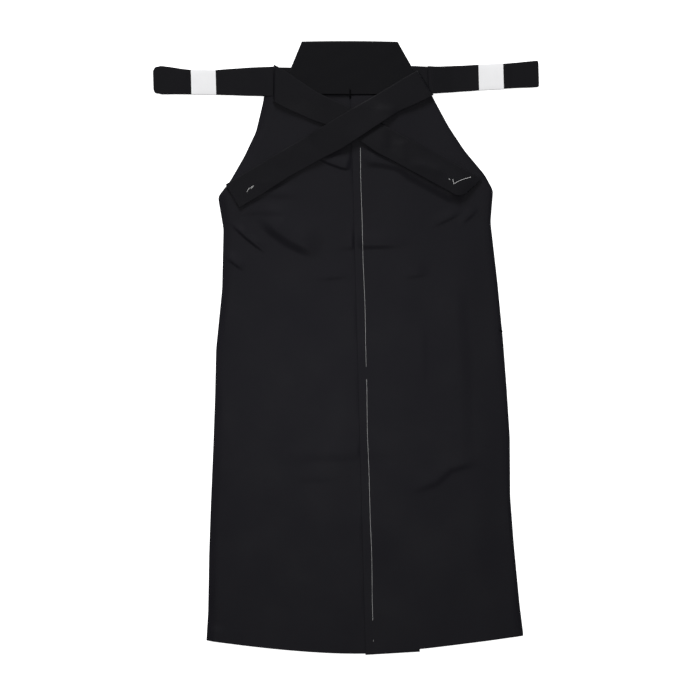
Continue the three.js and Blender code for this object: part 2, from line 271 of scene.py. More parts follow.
@dataclass(frozen=True)
class Crease:
    """One crease, laid along a given route.

    Attributes:
        route: Its line, as spots (across, down).
        rise: Its height, below 0 for a trough.
        reach: Half of its width.
        form: Its shape across.
        fade: Share of its length over which it fades at each end.
        steep: Width of a tuck's steep side.
    """

    route: tuple[Spot, ...]
    rise: float
    reach: float
    form: Form = Form.SOFT
    fade: float = 0.3
    steep: float = 2.2

    def height(self, across: Array, down: Array) -> Array:
        """Height that the crease adds at the given spots.

        Args:
            across: Across measures.
            down: Down measures.

        Returns:
            Heights.
        """
        spots = np.array(self.route)
        lengths = np.linalg.norm(np.diff(spots, axis=0), axis=1)
        starts = np.concatenate([[0.0], np.cumsum(lengths)])
        nearest = np.full(across.shape, np.inf)
        aside = np.zeros(across.shape)
        share = np.zeros(across.shape)
        for i, length in enumerate(lengths):
            way = (spots[i + 1] - spots[i]) / length
            x, y = across - spots[i][0], down - spots[i][1]
            at = np.clip(x * way[0] + y * way[1], 0.0, length)
            gap = np.hypot(x - at * way[0], y - at * way[1])
            closer = gap < nearest
            nearest = np.where(closer, gap, nearest)
            aside = np.where(closer, y * way[0] - x * way[1], aside)
            share = np.where(closer, (starts[i] + at) / starts[-1], share)
        ends = ease(share / self.fade) * ease((1 - share) / self.fade)
        return self.rise * ends * self._profile(nearest, np.sign(aside) * nearest)

    def _profile(self, gap: Array, aside: Array) -> Array:
        """Height across the crease, 1 on its line.

        Args:
            gap: Distances from the line.
            aside: The same with a sign for the side.

        Returns:
            Shares of the rise.
        """
        ridge = np.exp(-((gap / self.reach) ** 2))
        if self.form is Form.TUCK:
            return np.where(aside < 0, ridge, 1.0 - ease(gap / self.steep))
        return ridge


@dataclass(frozen=True)
class Ripples:
    """Slow unevenness of laid cloth.

    Attributes:
        depth: Rough height of their sum to either side.
        wave: Middle wavelength.
        count: How many waves are added together.
        seed: Start of the draw.
        lengths: Shortest and longest wave, as shares of the middle one.
    """

    depth: float
    wave: float
    count: int
    seed: int
    lengths: Spot = (0.6, 1.8)

    def height(self, across: Array, down: Array) -> Array:
        """Height at the given spots.

        Args:
            across: Across measures.
            down: Down measures.

        Returns:
            Heights.
        """
        draw = np.random.default_rng(self.seed)
        total = np.zeros(np.broadcast(across, down).shape)
        for _ in range(self.count):
            angle = draw.uniform(0, math.pi)
            length = self.wave * draw.uniform(*self.lengths)
            turn = draw.uniform(0, 2 * math.pi)
            way = across * math.cos(angle) + down * math.sin(angle)
            total += np.sin(2 * math.pi * way / length + turn)
        return self.depth * total / math.sqrt(self.count)


# ---------------------------------------------------------------- finishes


def new_group(name: str, inputs: dict[str, float], outputs: Sequence[str]) -> bpy.types.NodeTree:
    """Makes an empty shader node group with named sockets, its places by object or UV as Vector.

    Args:
        name: The group's name.
        inputs: Names and first values of its number inputs.
        outputs: Names of its number outputs.

    Returns:
        The group, with its input and output nodes named "in" and "out".
    """
    tree = bpy.data.node_groups.new(name, "ShaderNodeTree")
    tree.interface.new_socket("Vector", in_out="INPUT", socket_type="NodeSocketVector")
    for label, value in inputs.items():
        socket = tree.interface.new_socket(label, in_out="INPUT", socket_type="NodeSocketFloat")
        socket.default_value = value
    for label in outputs:
        tree.interface.new_socket(label, in_out="OUTPUT", socket_type="NodeSocketFloat")
    tree.nodes.new("NodeGroupInput").name = "in"
    tree.nodes.new("NodeGroupOutput").name = "out"
    return tree


def number(tree: bpy.types.NodeTree, operation: str, *values: object) -> bpy.types.NodeSocket:
    """Adds a Math node.

    Args:
        tree: The tree it goes in.
        operation: Its operation.
        values: Its inputs, each a number or a socket.

    Returns:
        Its output socket.
    """
    node = tree.nodes.new("ShaderNodeMath")
    node.operation = operation
    for socket, value in zip(node.inputs, values):
        if isinstance(value, (int, float)):
            socket.default_value = value
        else:
            tree.links.new(value, socket)
    return node.outputs[0]


# Slubs of the threads: their noise is fine across a thread and slow along it, per metre of cloth
SLUB_ACROSS = 900.0
SLUB_ALONG = 22.0

# The part of a noise's span that a mask spreads out from 0 to 1
NOISE_LOW = 0.3
NOISE_HIGH = 0.7


def weave_group() -> bpy.types.NodeTree:
    """Plain weave: threads that pass over and under each other.

    Returns:
        A group with Pitch (threads' distance in the map's units), Height and Slub outputs.
    """
    tree = new_group("plain_weave", {"Pitch": 0.0005}, ["Height", "Slub"])
    inside, outside = tree.nodes["in"], tree.nodes["out"]
    parts = tree.nodes.new("ShaderNodeSeparateXYZ")
    tree.links.new(inside.outputs["Vector"], parts.inputs[0])
    pitch = inside.outputs["Pitch"]
    waves = []
    for axis in ("X", "Y"):
        turns = number(tree, "DIVIDE", parts.outputs[axis], pitch)
        waves.append(number(tree, "SINE", number(tree, "MULTIPLY", turns, math.pi)))
    warp, weft = (number(tree, "ABSOLUTE", wave) for wave in waves)
    over = number(tree, "GREATER_THAN", number(tree, "MULTIPLY", waves[0], waves[1]), 0.0)
    picked = number(tree, "MULTIPLY", number(tree, "SUBTRACT", warp, weft), over)
    tree.links.new(number(tree, "ADD", picked, weft), outside.inputs["Height"])
    slubs = []
    for stretch in ((SLUB_ACROSS, SLUB_ALONG, 1.0), (SLUB_ALONG, SLUB_ACROSS, 1.0)):
        mapping = tree.nodes.new("ShaderNodeMapping")
        mapping.inputs["Scale"].default_value = stretch
        tree.links.new(inside.outputs["Vector"], mapping.inputs["Vector"])
        noise = tree.nodes.new("ShaderNodeTexNoise")
        noise.inputs["Scale"].default_value = 1.0
        noise.inputs["Detail"].default_value = 2.0
        tree.links.new(mapping.outputs[0], noise.inputs["Vector"])
        slubs.append(noise.outputs["Fac"])
    tree.links.new(number(tree, "MULTIPLY", slubs[0], slubs[1]), outside.inputs["Slub"])
    return tree


def mottle_group() -> bpy.types.NodeTree:
    """Slow unevenness of a surface, from 0 to 1.

    Returns:
        A group with Scale and Detail inputs and a Mask output.
    """
    tree = new_group("mottle", {"Scale": 9.0, "Detail": 4.0}, ["Mask"])
    inside, outside = tree.nodes["in"], tree.nodes["out"]
    noise = tree.nodes.new("ShaderNodeTexNoise")
    for label in ("Vector", "Scale", "Detail"):
        tree.links.new(inside.outputs[label], noise.inputs[label])
    span = tree.nodes.new("ShaderNodeMapRange")
    span.inputs["From Min"].default_value = NOISE_LOW
    span.inputs["From Max"].default_value = NOISE_HIGH
    tree.links.new(noise.outputs["Fac"], span.inputs["Value"])
    tree.links.new(span.outputs[0], outside.inputs["Mask"])
    return tree


def painted_light_pool_group() -> bpy.types.NodeTree:
    """Painted light: a lighter pool in a cloth's colour, strongest around one place and none far from it,
    standing for where the light falls brightest.

    Returns:
        A group with X, Y and Reach inputs in metres and a Mask output.
    """
    tree = new_group("painted_light_pool", {"X": 0.0, "Y": 0.0, "Reach": 0.5}, ["Mask"])
    inside, outside = tree.nodes["in"], tree.nodes["out"]
    parts = tree.nodes.new("ShaderNodeSeparateXYZ")
    tree.links.new(inside.outputs["Vector"], parts.inputs[0])
    squares = []
    for axis in ("X", "Y"):
        gap = number(tree, "SUBTRACT", parts.outputs[axis], inside.outputs[axis])
        share = number(tree, "DIVIDE", gap, inside.outputs["Reach"])
        squares.append(number(tree, "MULTIPLY", share, share))
    total = number(tree, "ADD", squares[0], squares[1])
    mask = number(tree, "DIVIDE", 1.0, number(tree, "ADD", total, 1.0))
    tree.links.new(mask, outside.inputs["Mask"])
    return tree


@dataclass
class Groups:
    """The shader groups that the finishes share."""

    painted_light_pool: bpy.types.NodeTree = field(default_factory=painted_light_pool_group)
    weave: bpy.types.NodeTree = field(default_factory=weave_group)
    mottle: bpy.types.NodeTree = field(default_factory=mottle_group)


class Maker:
    """Node tree of one material, with short ways to add to it."""

    def __init__(self, name: str) -> None:
        """Starts the material with a Principled shader.

        Args:
            name: The material's name.
        """
        self.material = bpy.data.materials.new(name)
        self.material.use_nodes = True
        self.tree = self.material.node_tree
        self.tree.nodes.clear()
        out = self.tree.nodes.new("ShaderNodeOutputMaterial")
        self.shader = self.tree.nodes.new("ShaderNodeBsdfPrincipled")
        self.tree.links.new(self.shader.outputs[0], out.inputs["Surface"])
        self.places = self.tree.nodes.new("ShaderNodeTexCoord")

    def group(self, tree: bpy.types.NodeTree, place: str, **values: float) -> bpy.types.Node:
        """Adds a group fed by Object or UV coordinates, with its own values.

        Args:
            tree: The group.
            place: Which coordinates feed it.
            values: Values of its inputs.

        Returns:
            Its node.
        """
        node = self.tree.nodes.new("ShaderNodeGroup")
        node.node_tree = tree
        self.tree.links.new(self.places.outputs[place], node.inputs["Vector"])
        for label, value in values.items():
            node.inputs[label].default_value = value
        return node

    def colours(self, low: Sequence[float], high: Sequence[float], share: bpy.types.NodeSocket) -> None:
        """Feeds Base Color with a mix of two colours.

        Args:
            low: Colour at 0.
            high: Colour at 1.
            share: What mixes them.
        """
        node = self.tree.nodes.new("ShaderNodeMix")
        node.data_type = "RGBA"
        node.inputs["A"].default_value = (*low, 1.0)
        node.inputs["B"].default_value = (*high, 1.0)
        self.tree.links.new(share, node.inputs["Factor"])
        self.tree.links.new(node.outputs["Result"], self.shader.inputs["Base Color"])

    def roughness(self, low: float, high: float, share: bpy.types.NodeSocket) -> None:
        """Feeds Roughness with a span of values.

        Args:
            low: Value at 0.
            high: Value at 1.
            share: What mixes them.
        """
        node = self.tree.nodes.new("ShaderNodeMapRange")
        node.inputs["To Min"].default_value = low
        node.inputs["To Max"].default_value = high
        self.tree.links.new(share, node.inputs["Value"])
        self.tree.links.new(node.outputs[0], self.shader.inputs["Roughness"])

    def bump(self, height: bpy.types.NodeSocket, distance: float, strength: float) -> None:
        """Feeds Normal with a bump of this height in metres.

        Args:
            height: The height.
            distance: Its scale.
            strength: Its strength.
        """
        node = self.tree.nodes.new("ShaderNodeBump")
        node.inputs["Distance"].default_value = distance
        node.inputs["Strength"].default_value = strength
        self.tree.links.new(height, node.inputs["Height"])
        self.tree.links.new(node.outputs[0], self.shader.inputs["Normal"])

    def plain(self, **values: object) -> None:
        """Sets shader sockets, named with _ for spaces."""
        for label, value in values.items():
            self.shader.inputs[label.replace("_", " ")].default_value = value


@dataclass(frozen=True)
class ClothFinish:
    """Black plain-woven cloth.

    Attributes:
        dark: Colour where the cloth is darkest.
        light: Colour where it is lightest.
        thread: Distance between its threads, in metres.
        rough_low: Least roughness.
        rough_high: Greatest roughness.
        shine: How strongly it reflects.
        mottle: Scale and detail of its unevenness.
        painted_light: Centre of the painted light, a lighter pool in its colour, in the frame's metres.
        painted_light_reach: How far the painted light reaches, in metres.
        mottle_share: Share of the unevenness in its tone.
        painted_light_share: Share of the painted light in its tone.
        tone_share: How much of the way to the light colour the sum of all takes it.
        slub_share: Share of the slubs in its relief.
        relief: Height of the weave in metres.
        relief_share: How strongly the weave shows.
    """

    dark: tuple[float, float, float] = (0.0018, 0.0016, 0.0031)
    light: tuple[float, float, float] = (0.0060, 0.0056, 0.0085)
    thread: float = 0.00045
    rough_low: float = 0.48
    rough_high: float = 0.6
    shine: float = 0.108
    mottle: Spot = (11.0, 5.0)
    # Painted light: the cloth's colour is lighter around this spot, where the light falls brightest.
    painted_light: Spot = (-0.06, -0.03)
    painted_light_reach: float = 0.33
    mottle_share: float = 0.6
    painted_light_share: float = 2.2
    tone_share: float = 0.3
    slub_share: float = 0.6
    relief: float = 0.00006
    relief_share: float = 0.35

    def material(self, name: str, groups: Groups) -> bpy.types.Material:
        """Builds the material.

        Args:
            name: Its name.
            groups: The groups it uses.

        Returns:
            The material.
        """
        maker = Maker(name)
        tree = maker.tree
        weave = maker.group(groups.weave, "UV", Pitch=self.thread)
        mottle = maker.group(groups.mottle, "Object", Scale=self.mottle[0], Detail=self.mottle[1])
        x, y = self.painted_light
        # Painted light: this mask lightens the colour around one spot, where the light falls brightest.
        painted_light_pool = maker.group(groups.painted_light_pool, "Object", X=x, Y=y, Reach=self.painted_light_reach)
        slub, uneven = weave.outputs["Slub"], mottle.outputs["Mask"]
        tone = number(tree, "MULTIPLY_ADD", uneven, self.mottle_share, slub)
        tone = number(tree, "MULTIPLY_ADD", painted_light_pool.outputs["Mask"], self.painted_light_share, tone)
        maker.colours(self.dark, self.light, number(tree, "MULTIPLY", tone, self.tone_share))
        maker.roughness(self.rough_low, self.rough_high, uneven)
        height = number(tree, "MULTIPLY_ADD", slub, self.slub_share, weave.outputs["Height"])
        maker.bump(height, self.relief, self.relief_share)
        maker.plain(Specular_IOR_Level=self.shine)
        return maker.material


@dataclass(frozen=True)
class PaperFinish:
    """Smooth white paper.

    Attributes:
        white: Its colour.
        shade: Its colour in the clouds of its pulp.
        fibres: Scale and detail of its fibres.
        clouds: Scale and detail of its clouds.
        rough: Least and greatest roughness.
        shine: How strongly it reflects.
        relief: Height of the fibres in metres.
        relief_share: How strongly they show.
    """

    white: tuple[float, float, float] = (0.735, 0.735, 0.745)
    shade: tuple[float, float, float] = (0.70, 0.70, 0.71)
    fibres: Spot = (420.0, 6.0)
    clouds: Spot = (26.0, 2.0)
    rough: Spot = (0.5, 0.62)
    shine: float = 0.3
    relief: float = 0.00004
    relief_share: float = 0.3

    def material(self, name: str, groups: Groups) -> bpy.types.Material:
        """Builds the material.

        Args:
            name: Its name.
            groups: The groups it uses.

        Returns:
            The material.
        """
        maker = Maker(name)
        fibres = maker.group(groups.mottle, "Object", Scale=self.fibres[0], Detail=self.fibres[1])
        clouds = maker.group(groups.mottle, "Object", Scale=self.clouds[0], Detail=self.clouds[1])
        maker.colours(self.shade, self.white, clouds.outputs["Mask"])
        maker.roughness(*self.rough, fibres.outputs["Mask"])
        maker.bump(fibres.outputs["Mask"], self.relief, self.relief_share)
        maker.plain(Specular_IOR_Level=self.shine)
        return maker.material


@dataclass(frozen=True)
class ThreadFinish:
    """Cotton thread, white for basting or black for the stitches that stay.

    Attributes:
        light: Colour of its fibres.
        dark: Colour between them.
        shine: How strongly it reflects.
        fuzz: Scale and detail of its fuzz.
        rough: Least and greatest roughness.
        relief: Height of the fuzz in metres.
        relief_share: How strongly it shows.
    """

    light: tuple[float, float, float] = (0.62, 0.62, 0.62)
    dark: tuple[float, float, float] = (0.42, 0.42, 0.42)
    shine: float = 0.2
    fuzz: Spot = (1500.0, 3.0)
    rough: Spot = (0.75, 0.9)
    relief: float = 0.00005
    relief_share: float = 0.4

    def material(self, name: str, groups: Groups) -> bpy.types.Material:
        """Builds the material.

        Args:
            name: Its name.
            groups: The groups it uses.

        Returns:
            The material.
        """
        maker = Maker(name)
        fuzz = maker.group(groups.mottle, "Object", Scale=self.fuzz[0], Detail=self.fuzz[1])
        maker.colours(self.dark, self.light, fuzz.outputs["Mask"])
        maker.roughness(*self.rough, fuzz.outputs["Mask"])
        maker.bump(fuzz.outputs["Mask"], self.relief, self.relief_share)
        maker.plain(Specular_IOR_Level=self.shine)
        return maker.material


@dataclass
class Wardrobe:
    """The garment's materials: one black cloth in three copies, the board's and the ties' darker with
    painted shade, paper and two threads.
    """

    groups: Groups = field(default_factory=Groups)

    def __post_init__(self) -> None:
        """Builds each material once."""
        self.cloth = ClothFinish().material("black_cloth", self.groups)
        # Painted shade: the board and the ties have the same black cloth, given darker colours because less
        # light falls on the top of the garment.
        board = ClothFinish(dark=(0.0011, 0.0011, 0.0019), light=(0.0019, 0.0018, 0.0030), shine=0.086)
        self.shaded_board_cloth = board.material("shaded_board_cloth", self.groups)
        tie = ClothFinish(dark=(0.0015, 0.0014, 0.0025), light=(0.0027, 0.0025, 0.0042), shine=0.101)
        self.shaded_tie_cloth = tie.material("shaded_tie_cloth", self.groups)
        self.paper = PaperFinish().material("band_paper", self.groups)
        self.thread = ThreadFinish().material("white_thread", self.groups)
        black = ThreadFinish(light=(0.0028, 0.0028, 0.0032), dark=(0.0016, 0.0016, 0.002), shine=0.05)
        self.black_thread = black.material("black_thread", self.groups)


# ---------------------------------------------------------------- the garment's shape


@dataclass(frozen=True)
class Body:
    """Shape of the laid garment, shared by its panels, and the creases of its back.

    Attributes:
        outline: Rows of (down, left, right), the half widths at each height.
        hem: Down measure of the hem at the centre.
        board_foot: Down measure of the back board's foot at the centre.
        tilt: Slope of the board across.
        crotch: Down measure of the crotch.
        pleat_waist: Depth of the back pleat at the waist.
        pleat_hem: Depth of the back pleat at the hem.
        shoulder_left: Width of the rounded strip along the left side.
        shoulder_right: The same on the right.
        fold: Levels from one pressed layer of the back pleat to the next.
        loft: How far the upper cloth stands off its layers, so that its troughs clear them.
        creases: The creases of the back.
        ripples: The slow unevenness of the back.
        waist: Down measure of the waist, where the pleats start to open.
        corner_waist: Half widths at the top of the back panels, left and right.
        corner_hem: The same at the hem.
        hem_rise: How much higher the hem is at its corners, left and right.
        hem_bend: How late that rise comes, left and right.
        side_layers: Levels of the upper cloth at the side's edge and inside its rounded strip.
        most_layers: Its level at the crotch, over the gussets.
        calm: Width along the sides and width at the pleat over which the creases die out.
    """

    outline: tuple[tuple[float, float, float], ...] = (
        (92, 148, 136), (148, 163, 165), (189, 184, 191), (230, 209, 224), (257, 231, 238),
        (311, 223, 232), (413, 228, 241), (515, 241, 248), (597, 245, 252), (678, 250, 255),
        (780, 257, 253), (862, 262, 257), (964, 266.5, 264), (1016, 271, 269),
    )
    hem: float = 1042.0
    board_foot: float = 91.5
    tilt: float = 0.029
    crotch: float = 560.0
    pleat_waist: float = 60.0
    pleat_hem: float = 92.0
    shoulder_left: float = 20.0
    shoulder_right: float = 5.0
    fold: float = 0.62
    loft: float = 0.8
    creases: tuple[Crease, ...] = ()
    ripples: Ripples = Ripples(0.42, 110.0, 9, 11)
    waist: float = 97.0
    corner_waist: Spot = (148.0, 136.0)
    corner_hem: Spot = (271.0, 269.0)
    hem_rise: Spot = (29.0, 23.0)
    hem_bend: Spot = (1.6, 1.3)
    side_layers: Spot = (1.15, 3.0)
    most_layers: float = 5.0
    calm: Spot = (14.0, 16.0)

    def half(self, down: Array, left: bool) -> Array:
        """Half width at a height, with the corners of the outline slightly rounded.

        Args:
            down: Down measures.
            left: Whether it is the left half.

        Returns:
            Half widths.
        """
        rows = np.array(self.outline)
        fine = np.arange(60.0, 1060.0)
        raw = np.interp(fine, rows[:, 0], rows[:, 1 if left else 2])
        reach, width = 12, 4.0
        kernel = np.exp(-0.5 * (np.arange(-reach, reach + 1) / width) ** 2)
        soft = np.convolve(np.pad(raw, reach, mode="edge"), kernel / kernel.sum(), mode="valid")
        return np.interp(down, fine, soft)

    def hem_at(self, across: Array) -> Array:
        """Down measure of the visible hem.

        Args:
            across: Across measures.

        Returns:
            Down measures.
        """
        out = np.abs(across) / (sum(self.corner_hem) / 2)
        rises = [rise * out**bend for rise, bend in zip(self.hem_rise, self.hem_bend)]
        return self.hem - np.where(across < 0, *rises)

    def underlay_hem_at(self, across: Array) -> Array:
        """Down measure of the hem of the pleat's hidden layers: a little lower, and slightly askew."""
        lower, askew = 2.0, 3.0
        return self.hem + lower - askew * across / self.pleat_hem

    def top_at(self, across: Array) -> Array:
        """Down measure of the back panels' top edge, along the foot of the board."""
        gap, highest = 0.3, 89.4
        return np.maximum(self.board_foot + gap + self.tilt * across, highest)

    def share(self, down: Array) -> Array:
        """Share of the way from the waist to the hem."""
        return np.clip((down - self.waist) / (self.hem - self.waist), 0, 1)

    def pleat(self, down: Array) -> Array:
        """Depth of the back pleat."""
        return blend(self.pleat_waist, self.pleat_hem, self.share(down))

    def lift(self, down: Array) -> Array:
        """Level of the left back panel at the centre, over all the layers below it.

        Args:
            down: Down measures.

        Returns:
            Levels.
        """
        start = 91.8
        share = np.clip((down - start) / (self.crotch - start), 0, 1)
        return blend(self.side_layers[1], self.most_layers, share)

    def _rounded(self, from_side: Array, shoulder: float) -> Array:
        """Level along a side, in a quarter wave from its edge to the end of its rounded strip."""
        low, high = self.side_layers
        return low + (high - low) * np.sin(np.pi / 2 * np.clip(from_side / shoulder, 0, 1))

    def left_level(self, across: Array, down: Array) -> Array:
        """Level of the left back panel.

        Args:
            across: Across measures.
            down: Down measures.

        Returns:
            Levels.
        """
        flat = 12.0
        half = self.half(down, True)
        from_side = half + np.minimum(across, 0)
        rise = ease((from_side - self.shoulder_left) / (half - self.shoulder_left - flat))
        return self._rounded(from_side, self.shoulder_left) + (self.lift(down) - self.side_layers[1]) * rise

    def right_level(self, across: Array, down: Array) -> Array:
        """Level of the right back panel's upper layer.

        Args:
            across: Across measures.
            down: Down measures.

        Returns:
            Levels.
        """
        beside_share, flat = 0.6, 2.0
        half = self.half(down, False)
        pleat = self.pleat(down)
        shoulder = half - self.shoulder_right
        beside = blend(pleat, shoulder, beside_share)
        edge = self._rounded(half - across, self.shoulder_right)
        rise = (self.lift(down) - self.side_layers[1]) * ease((shoulder - across) / (shoulder - beside))
        step = 2.0 * self.fold * ease((beside - across) / (beside - pleat - flat))
        return edge + rise + step

    def relief(self, across: Array, down: Array) -> Array:
        """Creases and ripples of the back's upper cloth.

        Args:
            across: Across measures.
            down: Down measures.

        Returns:
            Heights.
        """
        total = self.ripples.height(across, down)
        for crease in self.creases:
            total = total + crease.height(across, down)
        return total

    def surface(self, across: Array, down: Array) -> Array:
        """Middle of the back's upper cloth, with its creases.

        Args:
            across: Across measures.
            down: Down measures.

        Returns:
            Heights.
        """
        least_loft, loft_reach = 0.3, 70.0
        left = self.left_level(across, down)
        right = self.right_level(np.maximum(across, 0), down)
        half = np.where(across < 0, self.half(down, True), self.half(down, False))
        at_side = ease((half - np.abs(across)) / self.calm[0])
        at_fold = np.where(across < 0, 1.0, ease(across / self.calm[1]))
        base = level(np.where(across < 0, left, right))
        loft = self.loft * (least_loft + (1 - least_loft) * ease(np.abs(across) / loft_reach))
        return base + (loft + self.relief(across, down)) * at_side * at_fold


@dataclass
class BackPanels:
    """The two back panels, the right one folded over the left at the centre.

    Attributes:
        close: Distance between rows where most creases are.
        wide: Distance between the other rows.
        across_step: Distance between columns, as a share of the half width.
        across_edge: Distance of the column next to an edge, in the same share.
        creased: Down measures from the panel's top between which the rows are close.
        length: Length of a panel as its rows count it.
    """

    body: Body
    layout: Layout
    close: float = 1.7
    wide: float = 3.9
    across_step: float = 0.0092
    across_edge: float = 0.0015
    creased: Spot = (85.0, 322.0)
    length: float = 950.0

    def _rows(self) -> Array:
        """Shares of the way down at which the rows stand, closest where most creases are.

        Returns:
            A column of shares.
        """
        first, last = 4.0, 949.6
        creased = np.arange(*self.creased, self.close)
        plain = np.linspace(creased[-1] + self.wide, last, int((last - creased[-1]) / self.wide))
        above = np.arange(first, self.creased[0] - 1.0, self.wide)
        stations = np.concatenate([[0.0, 0.35], above, creased, plain, [self.length]])
        return (stations / stations[-1])[:, None]

    def _half(self, rows: Array, left: bool) -> Array:
        """Half width of a panel at each of its rows, which climb towards the side.

        Args:
            rows: Shares of the way down.
            left: Whether it is the left panel.

        Returns:
            Half widths.
        """
        body = self.body
        sign, side = (-1.0, 0) if left else (1.0, 1)
        start = body.top_at(sign * body.corner_waist[side])
        end = body.hem_at(np.array(sign * body.corner_hem[side]))
        return body.half(blend(start, end, rows), left)

    def left(self) -> bpy.types.Object:
        """The left panel, on under the right one to the pleat's inner edge.

        Returns:
            The piece.
        """
        tuck_start, tuck_wide = 5.0, 4.0
        rows = self._rows()
        body = self.body
        middle = blend(body.top_at(0.0), body.hem, rows)
        columns = spread(-1.0, 0.0, self.across_step, self.across_edge)
        shown = (columns * self._half(rows, True))[:, :-1]
        hidden = np.linspace(0.0, 1.0, 9) * body.pleat(middle)
        across = np.concatenate([shown, hidden], axis=1)
        hem = np.where(across > 0, body.underlay_hem_at(across), body.hem_at(across))
        down = blend(body.top_at(across), hem, rows)
        shown_up = body.surface(np.minimum(across, -1e-6), down)
        under = level(body.lift(middle)) + 0 * across
        tuck = ease((across + tuck_start) / tuck_wide)
        up = blend(shown_up, under, tuck)
        piece = shell("back_panel_left_cloth", self.layout.place(across, down, up), CLOTH / 2 * MM)
        return piece

    def right(self) -> bpy.types.Object:
        """The right panel, folded back under itself along the centre.

        Returns:
            The piece.
        """
        rows = self._rows()
        body = self.body
        middle = blend(body.top_at(0.0), body.hem, rows)
        columns = spread(1.0, 0.0, self.across_step, self.across_edge)
        shown = (columns * self._half(rows, False))[:, :-1]
        down_shown = blend(body.top_at(shown), body.hem_at(shown), rows)
        up_shown = body.surface(shown, down_shown)
        lift = body.lift(middle)
        high, low = level(lift + 2.0 * body.fold), level(lift + body.fold)
        turns = half_turn(8)[None, :]
        radius = (high - low) / 2
        across_fold = -radius * np.sin(turns)
        up_fold = high - radius * (1 - np.cos(turns))
        under = np.linspace(0.0, 1.0, 16)[1:] * body.pleat(middle)
        up_under = low + 0 * under
        across = np.concatenate([shown, across_fold, under], axis=1)
        up = np.concatenate([up_shown, up_fold, up_under], axis=1)
        below = np.concatenate([0 * shown, ease(turns / math.pi) + 0 * across_fold, 1 + 0 * under], axis=1)
        hem = blend(body.hem_at(across), body.underlay_hem_at(np.maximum(across, 0)), below)
        down = blend(body.top_at(across), hem, rows)
        piece = shell("back_panel_right_cloth", self.layout.place(across, down, up), CLOTH / 2 * MM)
        return piece


@dataclass(frozen=True)
class FrontPleat:
    """One front pleat: where its fold lies and how deep it is, at the waist and at the hem."""

    waist: float
    hem: float
    deep_waist: float
    deep_hem: float


@dataclass
class FrontPanels:
    """The two front panels, face down, with five pleats in all.

    Attributes:
        pleats: The pleats that both panels have. The right panel's edge is folded in as one more.
        centre_waist: Depth of the underlap or of that fold at the waist.
        centre_hem: The same at the hem.
        inset: How far a front side lies inside the back's.
        drop: Length of the slope from a pleat's top layer down to the next strip.
        strip: Length of the flat strip after it.
        outer_waist: How far out the outer strip's own pleat line lies at the waist.
        outer_hem: The same at the hem.
        climb: Places and levels at which the left panel climbs over the right one's fold.
        top: Down measure of the top edge.
        short: How much shorter the front is at the hem.
    """

    body: Body
    layout: Layout
    pleats: tuple[FrontPleat, ...] = (FrontPleat(70, 185, 20, 60), FrontPleat(35, 95, 20, 60))
    centre_waist: float = 20.0
    centre_hem: float = 75.0
    inset: float = 1.5
    drop: float = 9.0
    strip: float = 6.0
    outer_waist: float = 98.0
    outer_hem: float = 247.0
    climb: tuple[Spot, ...] = ((14.0, 0.0), (11.0, 0.5), (7.0, 1.5), (4.0, 2.0))
    top: float = 97.0
    short: float = 2.0

    @staticmethod
    def _fold(edge: Array, sign: float, lower: float) -> list[tuple[Array, float]]:
        """Path round a fold from a layer to the next, bulging to the side that the sign says.

        Args:
            edge: Where the fold begins.
            sign: Side it bulges to.
            lower: Level it starts from.

        Returns:
            Spots (across, level).
        """
        return [
            (edge + sign * FOLD_RADIUS * math.sin(turn), lower + 0.5 - 0.5 * math.cos(turn))
            for turn in half_turn(5)
        ]

    def _pleat(self, pleat: FrontPleat, share: Array) -> list[tuple[Array, float]]:
        """Path of one pleat, as (across, level): the fold, the return, the inner fold, the next strip.

        Args:
            pleat: The pleat.
            share: Shares of the way down.

        Returns:
            Spots (across, level).
        """
        edge = blend(pleat.waist, pleat.hem, share)
        deep = blend(pleat.deep_waist, pleat.deep_hem, share)
        path = self._fold(edge, -1.0, 0.0)
        path.append((edge + deep / 2, 1.0))
        path.extend(self._fold(edge + deep, 1.0, 1.0))
        path.extend([(edge + deep / 2, 2.0), (edge, 2.0)])
        for part in (0.25, 0.5, 0.75, 1.0):
            path.append((edge - self.drop * part, 2.0 - 2.0 * float(ease(part))))
        return path

    def panel(self, left: bool) -> bpy.types.Object:
        """Builds one front panel.

        Args:
            left: True for the left panel, which runs on under the right one at the centre.

        Returns:
            The piece.
        """
        body = self.body
        rows = spread(0.0, 1.0, step=0.012, edge=0.0004)[:, None]
        sign, corner = (-1.0, body.corner_hem[0]) if left else (1.0, body.corner_hem[1])
        side_down = blend(self.top, body.hem_at(np.array(sign * corner)) - self.short, rows)
        half = body.half(side_down, left) - self.inset
        share = body.share(blend(self.top, body.hem, rows))
        deep = blend(self.centre_waist, self.centre_hem, share)
        outer = blend(self.outer_waist, self.outer_hem, share)
        path = [(half * (1 - part) + part * outer, 0.0) for part in (0.0, 0.02, 0.5)]
        for pleat in self.pleats:
            path.extend(self._pleat(pleat, share))
            path.append((path[-1][0] - self.strip, 0.0))
        if left:
            path.extend(self.climb)
            path.extend([(-deep * part, 2.0) for part in (0.0, 0.5, 1.0)])
        else:
            path.extend(self._fold(0.0, -1.0, 0.0))
            path.extend([(deep * part, 1.0) for part in (0.5, 1.0)])
        across = sign * np.concatenate([spot + 0 * rows for spot, _ in path], axis=1)
        up = level(np.array([layer for _, layer in path])[None, :]) - SETTLED + 0 * across
        down = blend(self.top, body.hem_at(across) - self.short, rows)
        name = "front_panel_left_cloth" if left else "front_panel_right_cloth"
        piece = shell(name, self.layout.place(across, down, up), CLOTH / 2 * MM)
        return piece


